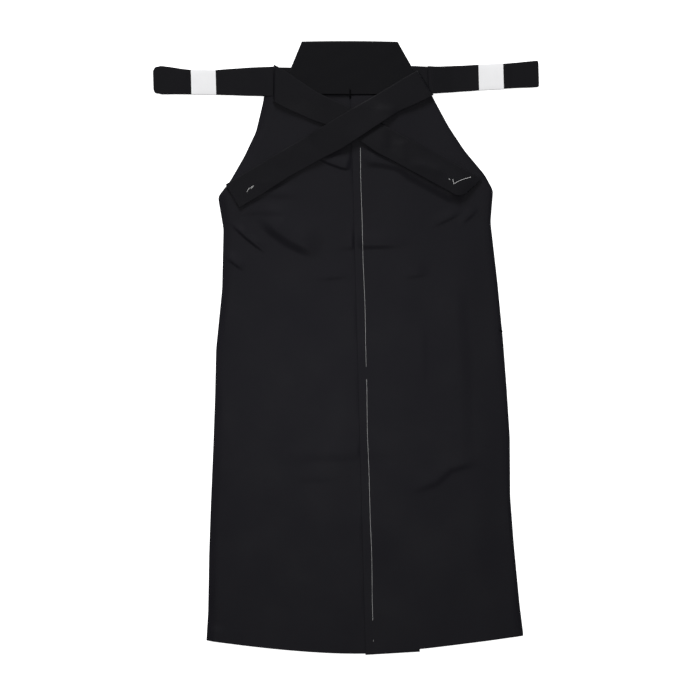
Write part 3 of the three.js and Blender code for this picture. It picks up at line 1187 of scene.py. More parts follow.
@dataclass
class Gussets:
    """The crotch gussets, each folded in two inside its leg.

    Attributes:
        top: Width of the folded gusset at the crotch.
        hem: Its width at the hem.
        short: How much shorter than the hem it is.
        past_left: How far past the pleat's inner edge the left gusset's seam lies.
        past_right: The same on the right.
        lower: Level of its lower layer.
    """

    body: Body
    layout: Layout
    top: float = 10.0
    hem: float = 46.0
    short: float = 6.0
    past_left: float = -2.0
    past_right: float = 4.0
    lower: float = 3.0

    def gusset(self, left: bool) -> bpy.types.Object:
        """Builds one gusset.

        Args:
            left: Whether it is the left one.

        Returns:
            The piece.
        """
        body = self.body
        rows = spread(0.0, 1.0, step=0.02, edge=0.001)[:, None]
        past = self.past_left if left else self.past_right
        seam = body.pleat(blend(body.crotch, body.hem, rows)) + past
        wide = blend(self.top, self.hem, rows)
        sign = -1.0 if left else 1.0
        turns = half_turn(6)[None, :]
        flat = np.linspace(0.0, 1.0, 6)[None, :-1]
        fold = wide + FOLD_RADIUS * np.sin(turns)
        across = seam + sign * np.concatenate([wide * flat, fold, wide * flat[:, ::-1]], axis=1)
        turned = 0.5 - 0.5 * np.cos(turns)
        layers = self.lower + np.concatenate([0 * flat, turned, 1 + 0 * flat], axis=1)
        name = "crotch_gusset_left_cloth" if left else "crotch_gusset_right_cloth"
        down = blend(body.crotch, body.hem_at(across) - self.short, rows)
        points = self.layout.place(across, down, level(layers) + 0 * down)
        piece = shell(name, points, CLOTH / 2 * MM)
        return piece


@dataclass
class Waistband:
    """The front's waistband: a strip folded over the top edge."""

    layout: Layout
    left: float = -139.0
    right: float = 131.0
    top: float = 48.0
    bottom: float = 94.5

    def build(self) -> bpy.types.Object:
        """Builds the band, open towards the panels.

        Returns:
            The piece.
        """
        rows = spread(self.left, self.right, step=6.0)[:, None]
        turns = half_turn(6)[None, :]
        flat = np.linspace(0, 1, 8)[None, :-1]
        start = self.top + PITCH
        run = blend(self.bottom, start, flat)
        down = np.concatenate([run, start - FOLD_RADIUS * np.sin(turns), run[:, ::-1]], axis=1)
        layers = np.concatenate([0 * flat, 0.5 - 0.5 * np.cos(turns), 1 + 0 * flat], axis=1)
        up = level(layers) - SETTLED * (1 - layers)
        points = self.layout.place(rows, down, up)
        piece = shell("front_waistband_cloth", points, CLOTH / 2 * MM)
        return piece


@dataclass
class BackBoard:
    """The stiff back board, covered with cloth.

    Attributes:
        top_left: Across measure of its upper left corner.
        top_right: The same of its upper right corner.
        foot_left: The same of its lower left corner.
        foot_right: The same of its lower right corner.
        top: Down measure of its top edge at the centre.
        foot: Down measure of its foot at the centre.
        tilt: Its slope across.
        thick: Its thickness.
        floor: Height of its lower face.
        bulge: How far its top edge bows up at the middle.
        round: Radius of its edges.
        mean_width: Its width as its columns count it.
        swell: Slow unevenness of its cover.
        swell_edge: Width along its edges over which that dies out.
        slack: How much less than the whole thickness it fills, on each face.
    """

    layout: Layout
    top_left: float = -81.0
    top_right: float = 82.0
    foot_left: float = -121.0
    foot_right: float = 131.0
    top: float = 0.5
    foot: float = 91.5
    tilt: float = 0.029
    thick: float = 5.0
    floor: float = 3.9
    bulge: float = 1.0
    round: float = 2.4
    mean_width: float = 216.0
    swell: Ripples = Ripples(0.12, 46.0, 7, 5)
    swell_edge: float = 8.0
    slack: float = 0.1

    def contains(self, across: Array, down: Array) -> Array:
        """Whether a spot lies on the board or just below its foot."""
        below = 2.0
        return down < self.foot + self.tilt * across + below

    @property
    def upper(self) -> float:
        """Height of its upper face."""
        return self.floor + self.thick

    def _stations(self, size: float, count: int) -> Array:
        """Places from one edge to the other, close together round the edges.

        Args:
            size: Length of the side.
            count: Places between the roundings, with their ends.

        Returns:
            The places.
        """
        rim = self.round * (1 - np.cos(np.linspace(0, math.pi / 2, 7)))
        inner = np.linspace(rim[-1], size - rim[-1], count)[1:-1]
        return np.concatenate([rim, inner, (size - rim)[::-1]])

    def build(self) -> bpy.types.Object:
        """Builds the board with rounded edges and a slight crown.

        Returns:
            The piece.
        """
        least_edge = 0.004
        length, width = self.foot - self.top, self.mean_width
        rows, columns = self._stations(length, 34)[:, None], self._stations(width, 70)[None, :]
        at_row, at_column = rows / length, columns / width
        left = blend(self.top_left, self.foot_left, at_row)
        right = blend(self.top_right, self.foot_right, at_row)
        across = blend(left, right, at_column)
        bulge = self.bulge * (1 - at_row) * (1 - (2 * at_column - 1) ** 2)
        down = blend(self.top - bulge, self.foot, at_row) + self.tilt * across
        near = np.minimum(np.minimum(rows, length - rows), np.minimum(columns, width - columns))
        round_off = np.sqrt(np.clip(1 - (1 - np.clip(near / self.round, 0, 1)) ** 2, least_edge, 1))
        swell = self.swell.height(across, down) * ease(near / self.swell_edge)
        up = self.floor + self.thick / 2 + swell
        half = (self.thick / 2 * round_off - self.slack) * MM
        piece = shell("koshiita_board_cloth", self.layout.place(across, down, up + 0 * across), half, 70.0)
        return piece


# ---------------------------------------------------------------- ties


@dataclass(frozen=True)
class Run:
    """How one run of a folded tie lies off the others, in millimetres."""

    aside: float = 0.0
    wider: float = 0.0


def tie_section(columns: int = 11) -> tuple[Array, Array]:
    """Section of a tie, rounded at its edges.

    Args:
        columns: Places across its flat part.

    Returns:
        Places across from -1 to 1, and the share of the full thickness at each.
    """
    flat, rounding, least = 0.93, 0.0705, 0.05
    core = np.linspace(-flat, flat, columns)
    edges = np.array([0.962, 0.984, 0.995, 1.0])
    places = np.concatenate([-edges[::-1], core, edges])
    full = np.sqrt(np.clip(1 - ((np.abs(places) - flat) / rounding) ** 2, least, 1))
    return places, np.where(np.abs(places) <= flat, 1.0, full)


def waver(places: Array, runs: Array, waves: Sequence[tuple[float, float, float]]) -> Array:
    """Slow unevenness along a tie.

    Args:
        places: Places along it.
        runs: The run each place belongs to.
        waves: Height, length and shift from run to run of each wave.

    Returns:
        The sum of the waves at each place.
    """
    return sum(height * np.sin(places / length + shift * runs) for height, length, shift in waves)


def rounded_corner(into: Array | float, radius: float) -> Array:
    """How far an end is drawn in at its corner, into being the share of the way into the rounding."""
    return radius * (1 - np.sqrt(np.clip(1 - np.clip(into, 0, 1) ** 2, 0, 1)))


@dataclass
class Zigzag:
    """Path of a tie folded back and forth, each run on the one before it.

    Attributes:
        runs: Number of runs.
        first: Where the lowest run starts.
        near: Where the near folds lie.
        far: Where the far folds lie.
        rest: Height of the middle of the lowest run at a place along it.
        step: Distance between stations.
    """

    runs: int
    first: float
    near: float
    far: float
    rest: Callable[[Array], Array]
    step: float = 4.0

    def path(self) -> tuple[Array, Array, Array]:
        """Works out the path.

        Returns:
            Places along, heights, and the run each station belongs to (between two runs at a fold).
        """
        places, heights, numbers = [], [], []
        for run in range(self.runs):
            outward = run % 2 == 0
            start = self.first if run == 0 else (self.near if outward else self.far)
            end = self.far if outward else self.near
            at = spread(start, end, self.step, edge=0.5)
            places.append(at)
            heights.append(self.rest(at) + run * PITCH)
            numbers.append(np.full(at.shape, float(run)))
            if run < self.runs - 1:
                turns = half_turn(7)[1:-1]
                sign = 1.0 if outward else -1.0
                places.append(end + sign * FOLD_RADIUS * np.sin(turns))
                lower = self.rest(np.array([end]))[0] + run * PITCH
                heights.append(lower + FOLD_RADIUS * (1 - np.cos(turns)))
                numbers.append(run + turns / math.pi)
        return np.concatenate(places), np.concatenate(heights), np.concatenate(numbers)


@dataclass
class BackTie:
    """A back tie, folded in three runs out to one side and held by a paper band.

    Attributes:
        stations: Rows of (out, down, width) of its centre line.
        fold: How far out its near fold lies.
        end: How far out its far fold lies.
        band: How far out its paper band lies.
        runs: How each run lies off the others.
        corner: Radius of the rounded corners of its far fold.
        thick: Thickness of the cloth.
        band_wide: Width of the paper band.
        paper: Thickness that the paper under the tie takes up, with its pasted ends.
        clear: Room between that and the tie.
        fall: How far out the tie falls from the panels to the surface.
        wall: Thickness of the paper.
        ease_in: Length over which the rounded corners begin.
    """

    layout: Layout
    left: bool
    stations: tuple[tuple[float, float, float], ...]
    fold: float
    end: float
    band: float
    runs: tuple[Run, ...]
    corner: float = 3.0
    thick: float = 1.0
    band_wide: float = 42.0
    paper: float = 0.6
    clear: float = 0.4
    fall: float = 148.0
    wall: float = 0.3
    ease_in: float = 14.0

    @property
    def side(self) -> str:
        """Its side's name."""
        return "left" if self.left else "right"

    def _rest(self, out: Array) -> Array:
        """Height of the middle of its lowest run.

        Args:
            out: Places along the tie.

        Returns:
            Heights.
        """
        before, after, slope, reach = 10, 26, 14, 3
        half = self.band_wide / 2
        raised = LAYER / 2 + self.paper + self.clear
        near, far = self.band - half, self.band + half
        knots = [0.0, self.fall - before, self.fall + after]
        knots += [near - slope, near, far, far + slope, self.end + 2]
        heights = [level(2), level(2), level(0), level(0), raised, raised, level(0), level(0)]
        fine = np.arange(0.0, self.end + 3.0, 1.0)
        count = 2 * reach + 1
        padded = np.pad(np.interp(fine, knots, heights), reach, mode="edge")
        return np.interp(out, fine, np.convolve(padded, np.ones(count) / count, mode="valid"))

    def _centre(self, out: Array) -> tuple[Array, Array]:
        """Down measure of its centre line and its width."""
        table = np.array(self.stations)
        return np.interp(out, table[:, 0], table[:, 1]), np.interp(out, table[:, 0], table[:, 2])

    def build(self) -> bpy.types.Object:
        """Builds the folded tie.

        Returns:
            The piece.
        """
        first = self.stations[0][0]
        places, heights, numbers = Zigzag(len(self.runs), first, self.fold, self.end, self._rest).path()
        across_tie, share = tie_section()
        centre, width = self._centre(places)
        order = np.arange(len(self.runs))
        aside = np.interp(numbers, order, [run.aside for run in self.runs])
        wider = np.interp(numbers, order, [run.wider for run in self.runs])
        edge_wave = waver(places, numbers, ((0.175, 17.0, 1.0), (0.125, 7.3, 2.0)))
        crown = waver(places, numbers, ((0.16, 23.0, 1.0),))
        rows = across_tie[:, None]
        down = (centre + aside)[None, :] + rows * ((width + wider) / 2 + edge_wave)[None, :]
        up = heights[None, :] + (1 - rows**2) * crown[None, :]
        sign = -1.0 if self.left else 1.0
        edge = (width / 2)[None, :] * (1 - np.abs(rows))
        drawn = rounded_corner(1 - edge / self.corner, self.corner)
        out = places[None, :] - drawn * ease((places[None, :] - self.end + self.ease_in) / self.ease_in)
        points = self.layout.place(sign * out, down, up)
        half = (self.thick / 2 * share)[:, None] * MM
        piece = shell(f"back_tie_{self.side}_cloth", points, half, 60.0)
        return piece

    def build_band(self) -> bpy.types.Object:
        """Builds the paper band: a strip around the tie, its ends pasted over each other underneath.

        Returns:
            The piece.
        """
        room_beside, room_above, corner = 0.75, 0.42, 1.5
        curl_high, curl_start, curl_wide = 0.22, 3.4, 1.2
        flat_below, flat_fade = 2.0, 2.0
        reach = self.band_wide / 2
        centre, _ = self._centre(np.array(self.band))
        beside, widths = self._centre(self.band + np.array([-reach, reach]))
        slope = float(beside[1] - beside[0]) / self.band_wide
        half = float(widths.max()) / 2 + room_beside
        top_run = float(self._rest(np.array(self.band))) + 2 * PITCH + self.thick / 2
        loop = self._loop(half, self.wall / 2, top_run + room_above, corner)
        rows = spread(-reach, reach, step=2.2, edge=0.3)[:, None]
        curl = curl_high * ease((np.abs(rows) - reach + curl_start) / curl_wide)
        belly = 0.14 * np.sin(rows / 11.0 + 0.6) + curl
        across_strip = loop[None, :, 0]
        up = loop[None, :, 1] + belly * ease((loop[None, :, 1] - flat_below) / flat_fade)
        sign = -1.0 if self.left else 1.0
        out = sign * (self.band + rows) + 0 * across_strip
        points = self.layout.place(out, centre + slope * rows + across_strip, up)
        return shell(f"tie_band_{self.side}_paper", points, self.wall / 2 * MM, 40.0)

    def _loop(self, half: float, low: float, high: float, corner: float) -> Array:
        """Path of the paper around the tie, as (across, up), starting and ending underneath.

        Args:
            half: Half of the loop's width.
            low: Height of its lower side.
            high: Height of its upper side.
            corner: Radius of its corners.

        Returns:
            The path, with the pasted end lying on the other one.
        """
        lap = low + self.wall + 0.04
        path = [(-half * 0.15, lap), (half * 0.3, lap), (half * 0.34, low + 0.1)]
        corners = [
            (half - corner, low + corner, -90.0), (half - corner, high - corner, 0.0),
            (-half + corner, high - corner, 90.0), (-half + corner, low + corner, 180.0),
        ]
        for x, z, start in corners:
            for turn in np.radians(np.linspace(start, start + 90.0, 6)):
                path.append((x + corner * math.cos(turn), z + corner * math.sin(turn)))
            if start == 0.0:
                path.extend((half * part, high) for part in (0.6, 0.3, 0.0, -0.3, -0.6))
        path.append((half * 0.2, low))
        return np.array(path)


@dataclass
class FrontTie:
    """A front tie: wrapped up over the board's side, laid across the back and folded in runs under itself.

    Attributes:
        start: Middle of its root, where it comes up over the side.
        end: Middle of its far end.
        under: Height of what it lies on.
        near_skew: How much further along its root lies, for each millimetre beside the centre line.
        far_skew: The same for its far end.
        edges: Rows of (along, more width at negative places, more width at positive places).
        corner: Radius of the rounded corner at the far end, on the positive side.
        runs: How each run lies off the others.
        creases: Creases of its top run, in its own measures (along, beside).
        width: Width of the tie.
        thick: Thickness of the cloth.
        pitch: Height from one run to the next.
        step: Distance between stations.
        tuck: How far the wrap bulges out at the root, and where the inner folds lie.
        floor: Height of the wrap's lower edge.
        clear: Room under the lowest run.
        cell: Distance between the stations at which its height is worked out.
        smoothing: How far a high spot spreads and how often the heights are smoothed.
    """

    layout: Layout
    left: bool
    start: Spot
    end: Spot
    under: Callable[[Array, Array], Array]
    near_skew: float
    far_skew: float
    edges: tuple[tuple[float, float, float], ...]
    corner: float
    runs: tuple[Run, ...]
    creases: tuple[Crease, ...] = ()
    width: float = 46.0
    thick: float = 0.72
    pitch: float = 0.86
    step: float = 4.0
    tuck: float = 4.5
    floor: float = 4.6
    clear: float = 0.15
    cell: float = 2.5
    smoothing: tuple[int, int] = (7, 30)

    def __post_init__(self) -> None:
        """Works out its direction and the height of what it lies on."""
        before, after, beside = 30.0, 34.0, 0.85
        way = np.array(self.end) - np.array(self.start)
        self.length = float(np.hypot(*way))
        self.way = way / self.length
        self.stations = np.arange(-before, self.length + after, self.cell)
        self.places = np.linspace(-beside, beside, 33) * self.width
        grid = self.under(*self.spot(self.stations[:, None], self.places[None, :]))
        reach, passes = self.smoothing
        self.rests = self._soften(self._widen(grid, reach), passes)

    @staticmethod
    def _widen(grid: Array, reach: int) -> Array:
        """Largest neighbour of each spot of a grid.

        Args:
            grid: The grid.
            reach: Neighbours to each side.

        Returns:
            The new grid.
        """
        high = np.pad(grid, reach, mode="edge")
        rows, columns = grid.shape
        near = range(2 * reach + 1)
        return np.max([high[i : i + rows, j : j + columns] for i in near for j in near], axis=0)

    @staticmethod
    def _soften(grid: Array, passes: int) -> Array:
        """Grid smoothed along both of its axes.

        Args:
            grid: The grid.
            passes: How often.

        Returns:
            The new grid.
        """
        for _ in range(passes):
            for axis in (0, 1):
                pad = [(1, 1) if axis == at else (0, 0) for at in (0, 1)]
                high = np.pad(grid, pad, mode="edge")
                count = grid.shape[axis]
                parts = [np.take(high, range(i, i + count), axis=axis) for i in range(3)]
                grid = 0.25 * parts[0] + 0.5 * parts[1] + 0.25 * parts[2]
        return grid

    def spot(self, at: Array, beside: Array) -> tuple[Array, Array]:
        """Garment measures of a place along and beside its centre line.

        Args:
            at: Places along the tie.
            beside: Places beside its centre line.

        Returns:
            Across and down measures.
        """
        across = self.start[0] + self.way[0] * at - self.way[1] * beside
        down = self.start[1] + self.way[1] * at + self.way[0] * beside
        return across, down

    def rest(self, at: Array, beside: Array) -> Array:
        """Height of what it lies on, smoothed as it drapes over it.

        Args:
            at: Places along the tie.
            beside: Places beside its centre line.

        Returns:
            Heights.
        """
        # The last place stands just before the end, so that it has neighbours on both sides
        short = 1.001
        at, beside = np.broadcast_arrays(at, beside)
        cell = self.places[1] - self.places[0]
        x = np.clip((at - self.stations[0]) / self.cell, 0, len(self.stations) - short)
        y = np.clip((beside - self.places[0]) / cell, 0, len(self.places) - short)
        i, j = x.astype(int), y.astype(int)
        low = blend(self.rests[i, j], self.rests[i + 1, j], x - i)
        high = blend(self.rests[i, j + 1], self.rests[i + 1, j + 1], x - i)
        return blend(low, high, y - j)

    def run_height(self, run: Array | float) -> Array | float:
        """Height of the middle of a run over what the tie lies on."""
        return self.clear + self.thick / 2 + np.asarray(run) * self.pitch

    def _relief(self, at: Array, beside: Array) -> Array:
        """Height of the top run's creases.

        Args:
            at: Places along the tie.
            beside: Places beside its centre line.

        Returns:
            Heights.
        """
        total = 0.0 * (at + beside)
        for crease in self.creases:
            total = total + crease.height(at + 0 * beside, beside + 0 * at)
        return total

    def top(self, across: Array, down: Array) -> Array:
        """Height of its upper face, 0 where it doesn't lie.

        Args:
            across: Across measures.
            down: Down measures.

        Returns:
            Heights.
        """
        before, past, beyond = 5, 6, 0.8
        x, y = across - self.start[0], down - self.start[1]
        at = x * self.way[0] + y * self.way[1]
        beside = y * self.way[0] - x * self.way[1]
        low, high = self._limits(at)
        inside = (at > -before) & (at < self.length + past)
        inside &= (beside > low - beyond) & (beside < high + beyond)
        upper = self.rest(at, beside) + self.run_height(len(self.runs) - 1) + self.thick / 2
        return np.where(inside, upper + self._relief(at, beside), 0.0)

    def _limits(self, at: Array) -> tuple[Array, Array]:
        """Where its two edges lie beside the centre line.

        Args:
            at: Places along the tie.

        Returns:
            Places beside the centre line.
        """
        table = np.array(self.edges)
        low = -self.width / 2 - np.interp(at, table[:, 0], table[:, 1])
        high = self.width / 2 + np.interp(at, table[:, 0], table[:, 2])
        return low, high

    def _path(self) -> tuple[Array, Array, Array]:
        """Path of the cloth from below the root, out on top and back and forth beneath.

        Returns:
            Places along, runs (between two runs at a fold) and how far the wrap has come down, from 0 to 1.
        """
        first = 0.6
        last = len(self.runs) - 1
        turns = np.linspace(0.0, math.pi / 2, 9)
        places = [-self.tuck * np.cos(turns)]
        numbers = [np.full(turns.shape, float(last))]
        drops = [1 - np.sin(turns)]
        for run in range(last, -1, -1):
            outward = (last - run) % 2 == 0
            inner = first if run == last else self.tuck
            start, end = (inner, self.length) if outward else (self.length, self.tuck)
            at = spread(start, end, self.step, edge=0.5)
            places.append(at)
            numbers.append(np.full(at.shape, float(run)))
            drops.append(np.zeros(at.shape))
            if run > 0:
                bend = half_turn(7)[1:-1]
                sign = 1.0 if outward else -1.0
                places.append(end + sign * self.pitch / 2 * np.sin(bend))
                numbers.append(run - (1 - np.cos(bend)) / 2)
                drops.append(np.zeros(bend.shape))
        return np.concatenate(places), np.concatenate(numbers), np.concatenate(drops)

    def build(self) -> bpy.types.Object:
        """Builds the folded tie.

        Returns:
            The piece.
        """
        places, numbers, drops = self._path()
        across_tie, share = tie_section(21)
        rows = across_tie[:, None]
        order = np.arange(len(self.runs))
        aside = np.interp(numbers, order, [run.aside for run in self.runs])
        wider = np.interp(numbers, order, [run.wider for run in self.runs])
        more = wider / 2 + waver(places, numbers, ((0.18, 21.0, 1.7), (0.12, 8.1, 1.0)))
        low, high = self._limits(places)
        low, high = low - more + aside, high + more + aside
        beside = blend(low[None, :], high[None, :], (rows + 1) / 2)
        far = self.far_skew * beside - self._corner_cut(beside, high[None, :])
        out = np.clip(places / self.length, 0, 1)[None, :]
        at = places[None, :] + out * far + (1 - out) ** 3 * self.near_skew * beside
        weight = ease(numbers - (len(self.runs) - 1) + 1)[None, :]
        laid = self.rest(at, beside) + self.run_height(numbers)[None, :]
        laid = laid + self._relief(at, beside) * weight
        up = blend(laid, np.minimum(self.floor, laid), drops[None, :])
        across, down = self.spot(at, beside)
        points = self.layout.place(across, down, up)
        half = (self.thick / 2 * share)[:, None] * MM
        side = "left" if self.left else "right"
        piece = shell(f"front_tie_{side}_cloth", points, half, 60.0)
        return piece

    def _corner_cut(self, beside: Array, high: Array) -> Array:
        """How far the far end is drawn in at its rounded corner.

        Args:
            beside: Places beside its centre line.
            high: The positive edge's places.

        Returns:
            Distances.
        """
        if self.corner <= 0:
            return 0 * beside
        return rounded_corner((beside - high + self.corner) / self.corner, self.corner)


# ---------------------------------------------------------------- threads


@dataclass
class Thread:
    """A thread twisted from two strands, laid along a route.

    Attributes:
        name: The piece's name.
        radius: Radius of one strand.
        twist: Length of one turn.
        sides: Sides of a strand's section.
    """

    layout: Layout
    name: str
    radius: float = 0.14
    twist: float = 2.2
    sides: int = 4

    def build(self, routes: Sequence[Array]) -> bpy.types.Object:
        """Builds one piece of all its stitches.

        Args:
            routes: One array of (across, down, up) stations for each stitch.

        Returns:
            The piece.
        """
        corners, faces, total = [], [], 0
        for route in routes:
            for strand in (0.0, math.pi):
                tube, quads = self._strand(route, strand)
                corners.append(tube)
                faces.append(quads + total)
                total += len(tube)
        placed = np.concatenate(corners)
        points = self.layout.place(placed[:, 0], placed[:, 1], placed[:, 2])
        return mesh_piece(self.name, points, np.concatenate(faces), None, 80.0)

    def _strand(self, route: Array, start: float) -> tuple[Array, Array]:
        """One strand: its corners and its faces, closed at both ends.

        Args:
            route: The thread's stations.
            start: Angle at which it starts.

        Returns:
            Corners and faces.
        """
        fine = self._fine(route)
        way = np.gradient(fine, axis=0)
        way /= np.linalg.norm(way, axis=1, keepdims=True)
        beside = np.cross(way, np.array([0.0, 0.0, 1.0]))
        beside /= np.maximum(np.linalg.norm(beside, axis=1, keepdims=True), 1e-9)
        upward = np.cross(beside, way)
        distance = along(fine[None], 1)[0]
        turn = 2 * math.pi * distance / self.twist + start
        core = fine + self.radius * (beside * np.cos(turn)[:, None] + upward * np.sin(turn)[:, None])
        rings = []
        for side in range(self.sides):
            angle = 2 * math.pi * side / self.sides
            rings.append(core + self.radius * (beside * math.cos(angle) + upward * math.sin(angle)))
        tube = np.stack(rings, axis=1)
        count = len(fine)
        corners = np.concatenate([tube.reshape(-1, 3), core[[0]], core[[-1]]])
        index = np.arange(count * self.sides).reshape(count, self.sides)
        after = np.roll(index, -1, axis=1)
        quads = np.stack([index[:-1], after[:-1], after[1:], index[1:]], -1).reshape(-1, 4)
        first, last = count * self.sides, count * self.sides + 1
        caps = []
        for side in range(0, self.sides, 2):
            caps.append([first, index[0, (side + 2) % self.sides], index[0, side + 1], index[0, side]])
            caps.append([last, index[-1, side], index[-1, side + 1], index[-1, (side + 2) % self.sides]])
        return corners, np.concatenate([quads, np.array(caps)])

    def _fine(self, route: Array) -> Array:
        """Stations close enough to show the twist.

        Args:
            route: The thread's stations.

        Returns:
            Closer stations.
        """
        distance = along(np.asarray(route)[None], 1)[0]
        stations = np.linspace(0.0, distance[-1], max(8, int(distance[-1] / (self.twist / 8))))
        return np.stack([np.interp(stations, distance, route[:, axis]) for axis in range(3)], axis=1)


@dataclass
class Basting:
    """White basting beside the pleat's fold, in long stitches.

    Attributes:
        under: Height of the middle of the cloth it lies on.
        stitches: Down measures of the start and the end of each stitch.
        beside: How far right of the fold it runs.
        above: Height of its middle over the cloth.
        dip: How far its ends go down into the cloth.
        dip_length: Length over which they do.
    """

    layout: Layout
    under: Callable[[Array, Array], Array]
    stitches: tuple[Spot, ...] = ((178, 560), (572, 991), (1015, 1027))
    beside: float = 13.7
    above: float = 0.22
    dip: float = 1.2
    dip_length: float = 5.0

    def _across(self, down: Array) -> Array:
        """Across measure of the thread, which wavers a little."""
        return self.beside + 0.55 * np.sin(down / 61.0) + 0.3 * np.sin(down / 23.0 + 1.0)

    def _dip(self, distance: Array) -> Array:
        """How deep the thread lies at a distance from a stitch's end."""
        return self.dip * (1 - ease(distance / self.dip_length))

    def build(self) -> bpy.types.Object:
        """Builds the basting, each stitch with its ends going down into the cloth.

        Returns:
            The piece.
        """
        routes = []
        for start, end in self.stitches:
            down = np.arange(start, end, 2.5)
            across = self._across(down)
            up = self.under(across, down) + CLOTH / 2 + self.above
            dip = self._dip(down - start) + self._dip(down[-1] - down)
            routes.append(np.stack([across, down, up - dip], axis=1))
        return Thread(self.layout, "basting_thread").build(routes)


@dataclass
class Tacks:
    """White tacking stitches that hold the ends of the front ties.

    Attributes:
        under: Height of the upper face of all that is laid on the back.
        routes: The line of each stitch, as spots (across, down).
        above: Height of a stitch over that.
        arch: How high its middle stands over its ends.
        sunk: How deep its ends are sunk.
    """

    layout: Layout
    under: Callable[[Array, Array], Array]
    above: float = 0.35
    arch: float = 0.7
    sunk: float = 0.4
    routes: tuple[tuple[Spot, ...], ...] = (
        ((162.0, 239.5), (164.5, 240.8)),
        ((169.0, 240.0), (169.6, 244.0), (170.5, 248.5)),
        ((170.0, 248.5), (177.0, 244.6), (185.0, 241.2), (193.0, 239.0), (200.5, 236.8)),
        ((-174.5, 245.5), (-172.0, 243.2), (-168.5, 242.0)),
        ((-174.0, 247.0), (-170.5, 244.2)),
        ((-181.0, 252.5), (-178.6, 248.0), (-176.0, 245.0)),
    )

    def build(self) -> bpy.types.Object:
        """Builds the tacks.

        Returns:
            The piece.
        """
        made = []
        for route in self.routes:
            spots = np.array(route)
            distance = np.concatenate([[0.0], np.cumsum(np.hypot(*np.diff(spots, axis=0).T))])
            fine = np.linspace(0.0, distance[-1], max(5, int(distance[-1] / 1.2)))
            across = np.interp(fine, distance, spots[:, 0])
            down = np.interp(fine, distance, spots[:, 1])
            arch = self.arch * np.sin(math.pi * fine / distance[-1]) - self.sunk
            made.append(np.stack([across, down, self.under(across, down) + self.above + arch], axis=1))
        return Thread(self.layout, "tie_tacks", radius=0.24, twist=2.8).build(made)


@dataclass
class Knots:
    """Black thread: the tack that holds the pleat to the board's foot and a knot at the right side.

    Attributes:
        under: Height of the upper face of all that is laid on the back.
        knot: Middle of the knot.
        foot: Upper end of the tack's middle stitch.
        stitch: Length of the first stitch of the tack.
        beside: Distance between its stitches.
        knot_up: Height of the knot's middle.
        tail_up: Height at which its tail begins.
    """

    layout: Layout
    under: Callable[[Array, Array], Array]
    knot: Spot = (244.5, 497.0)
    foot: Spot = (-1.0, 82.0)
    stitch: float = 16.5
    beside: float = 0.9
    knot_up: float = 4.9
    tail_up: float = 4.8

    def build(self) -> bpy.types.Object:
        """Builds the stitches and the knot.

        Returns:
            The piece.
        """
        routes = []
        for i in range(3):
            down = np.linspace(self.foot[1] + 0.6 * i, self.foot[1] + self.stitch - 0.5 * i, 15)
            across = self.foot[0] + self.beside * (i - 1) + 0.2 * np.sin(down)
            routes.append(np.stack([across, down, self.under(across, down) + 0.5], axis=1))
        turns = np.linspace(0.0, 5.2 * math.pi, 90)
        swing = 1.0 + 0.35 * np.sin(turns * 1.7)
        across = self.knot[0] + 1.5 * swing * np.cos(turns)
        down = self.knot[1] + 2.4 * swing * np.sin(turns * 0.83 + 0.4)
        routes.append(np.stack([across, down, self.knot_up + 1.1 * np.sin(turns * 1.31)], axis=1))
        tail = np.linspace(0.0, 1.0, 12)
        across, down = self.knot[0] + 3.4 * tail, self.knot[1] + 4.0 * tail**2
        routes.append(np.stack([across, down, self.tail_up - 3.2 * tail], axis=1))
        return Thread(self.layout, "black_knots", radius=0.26, twist=2.8).build(routes)


# ---------------------------------------------------------------- studio


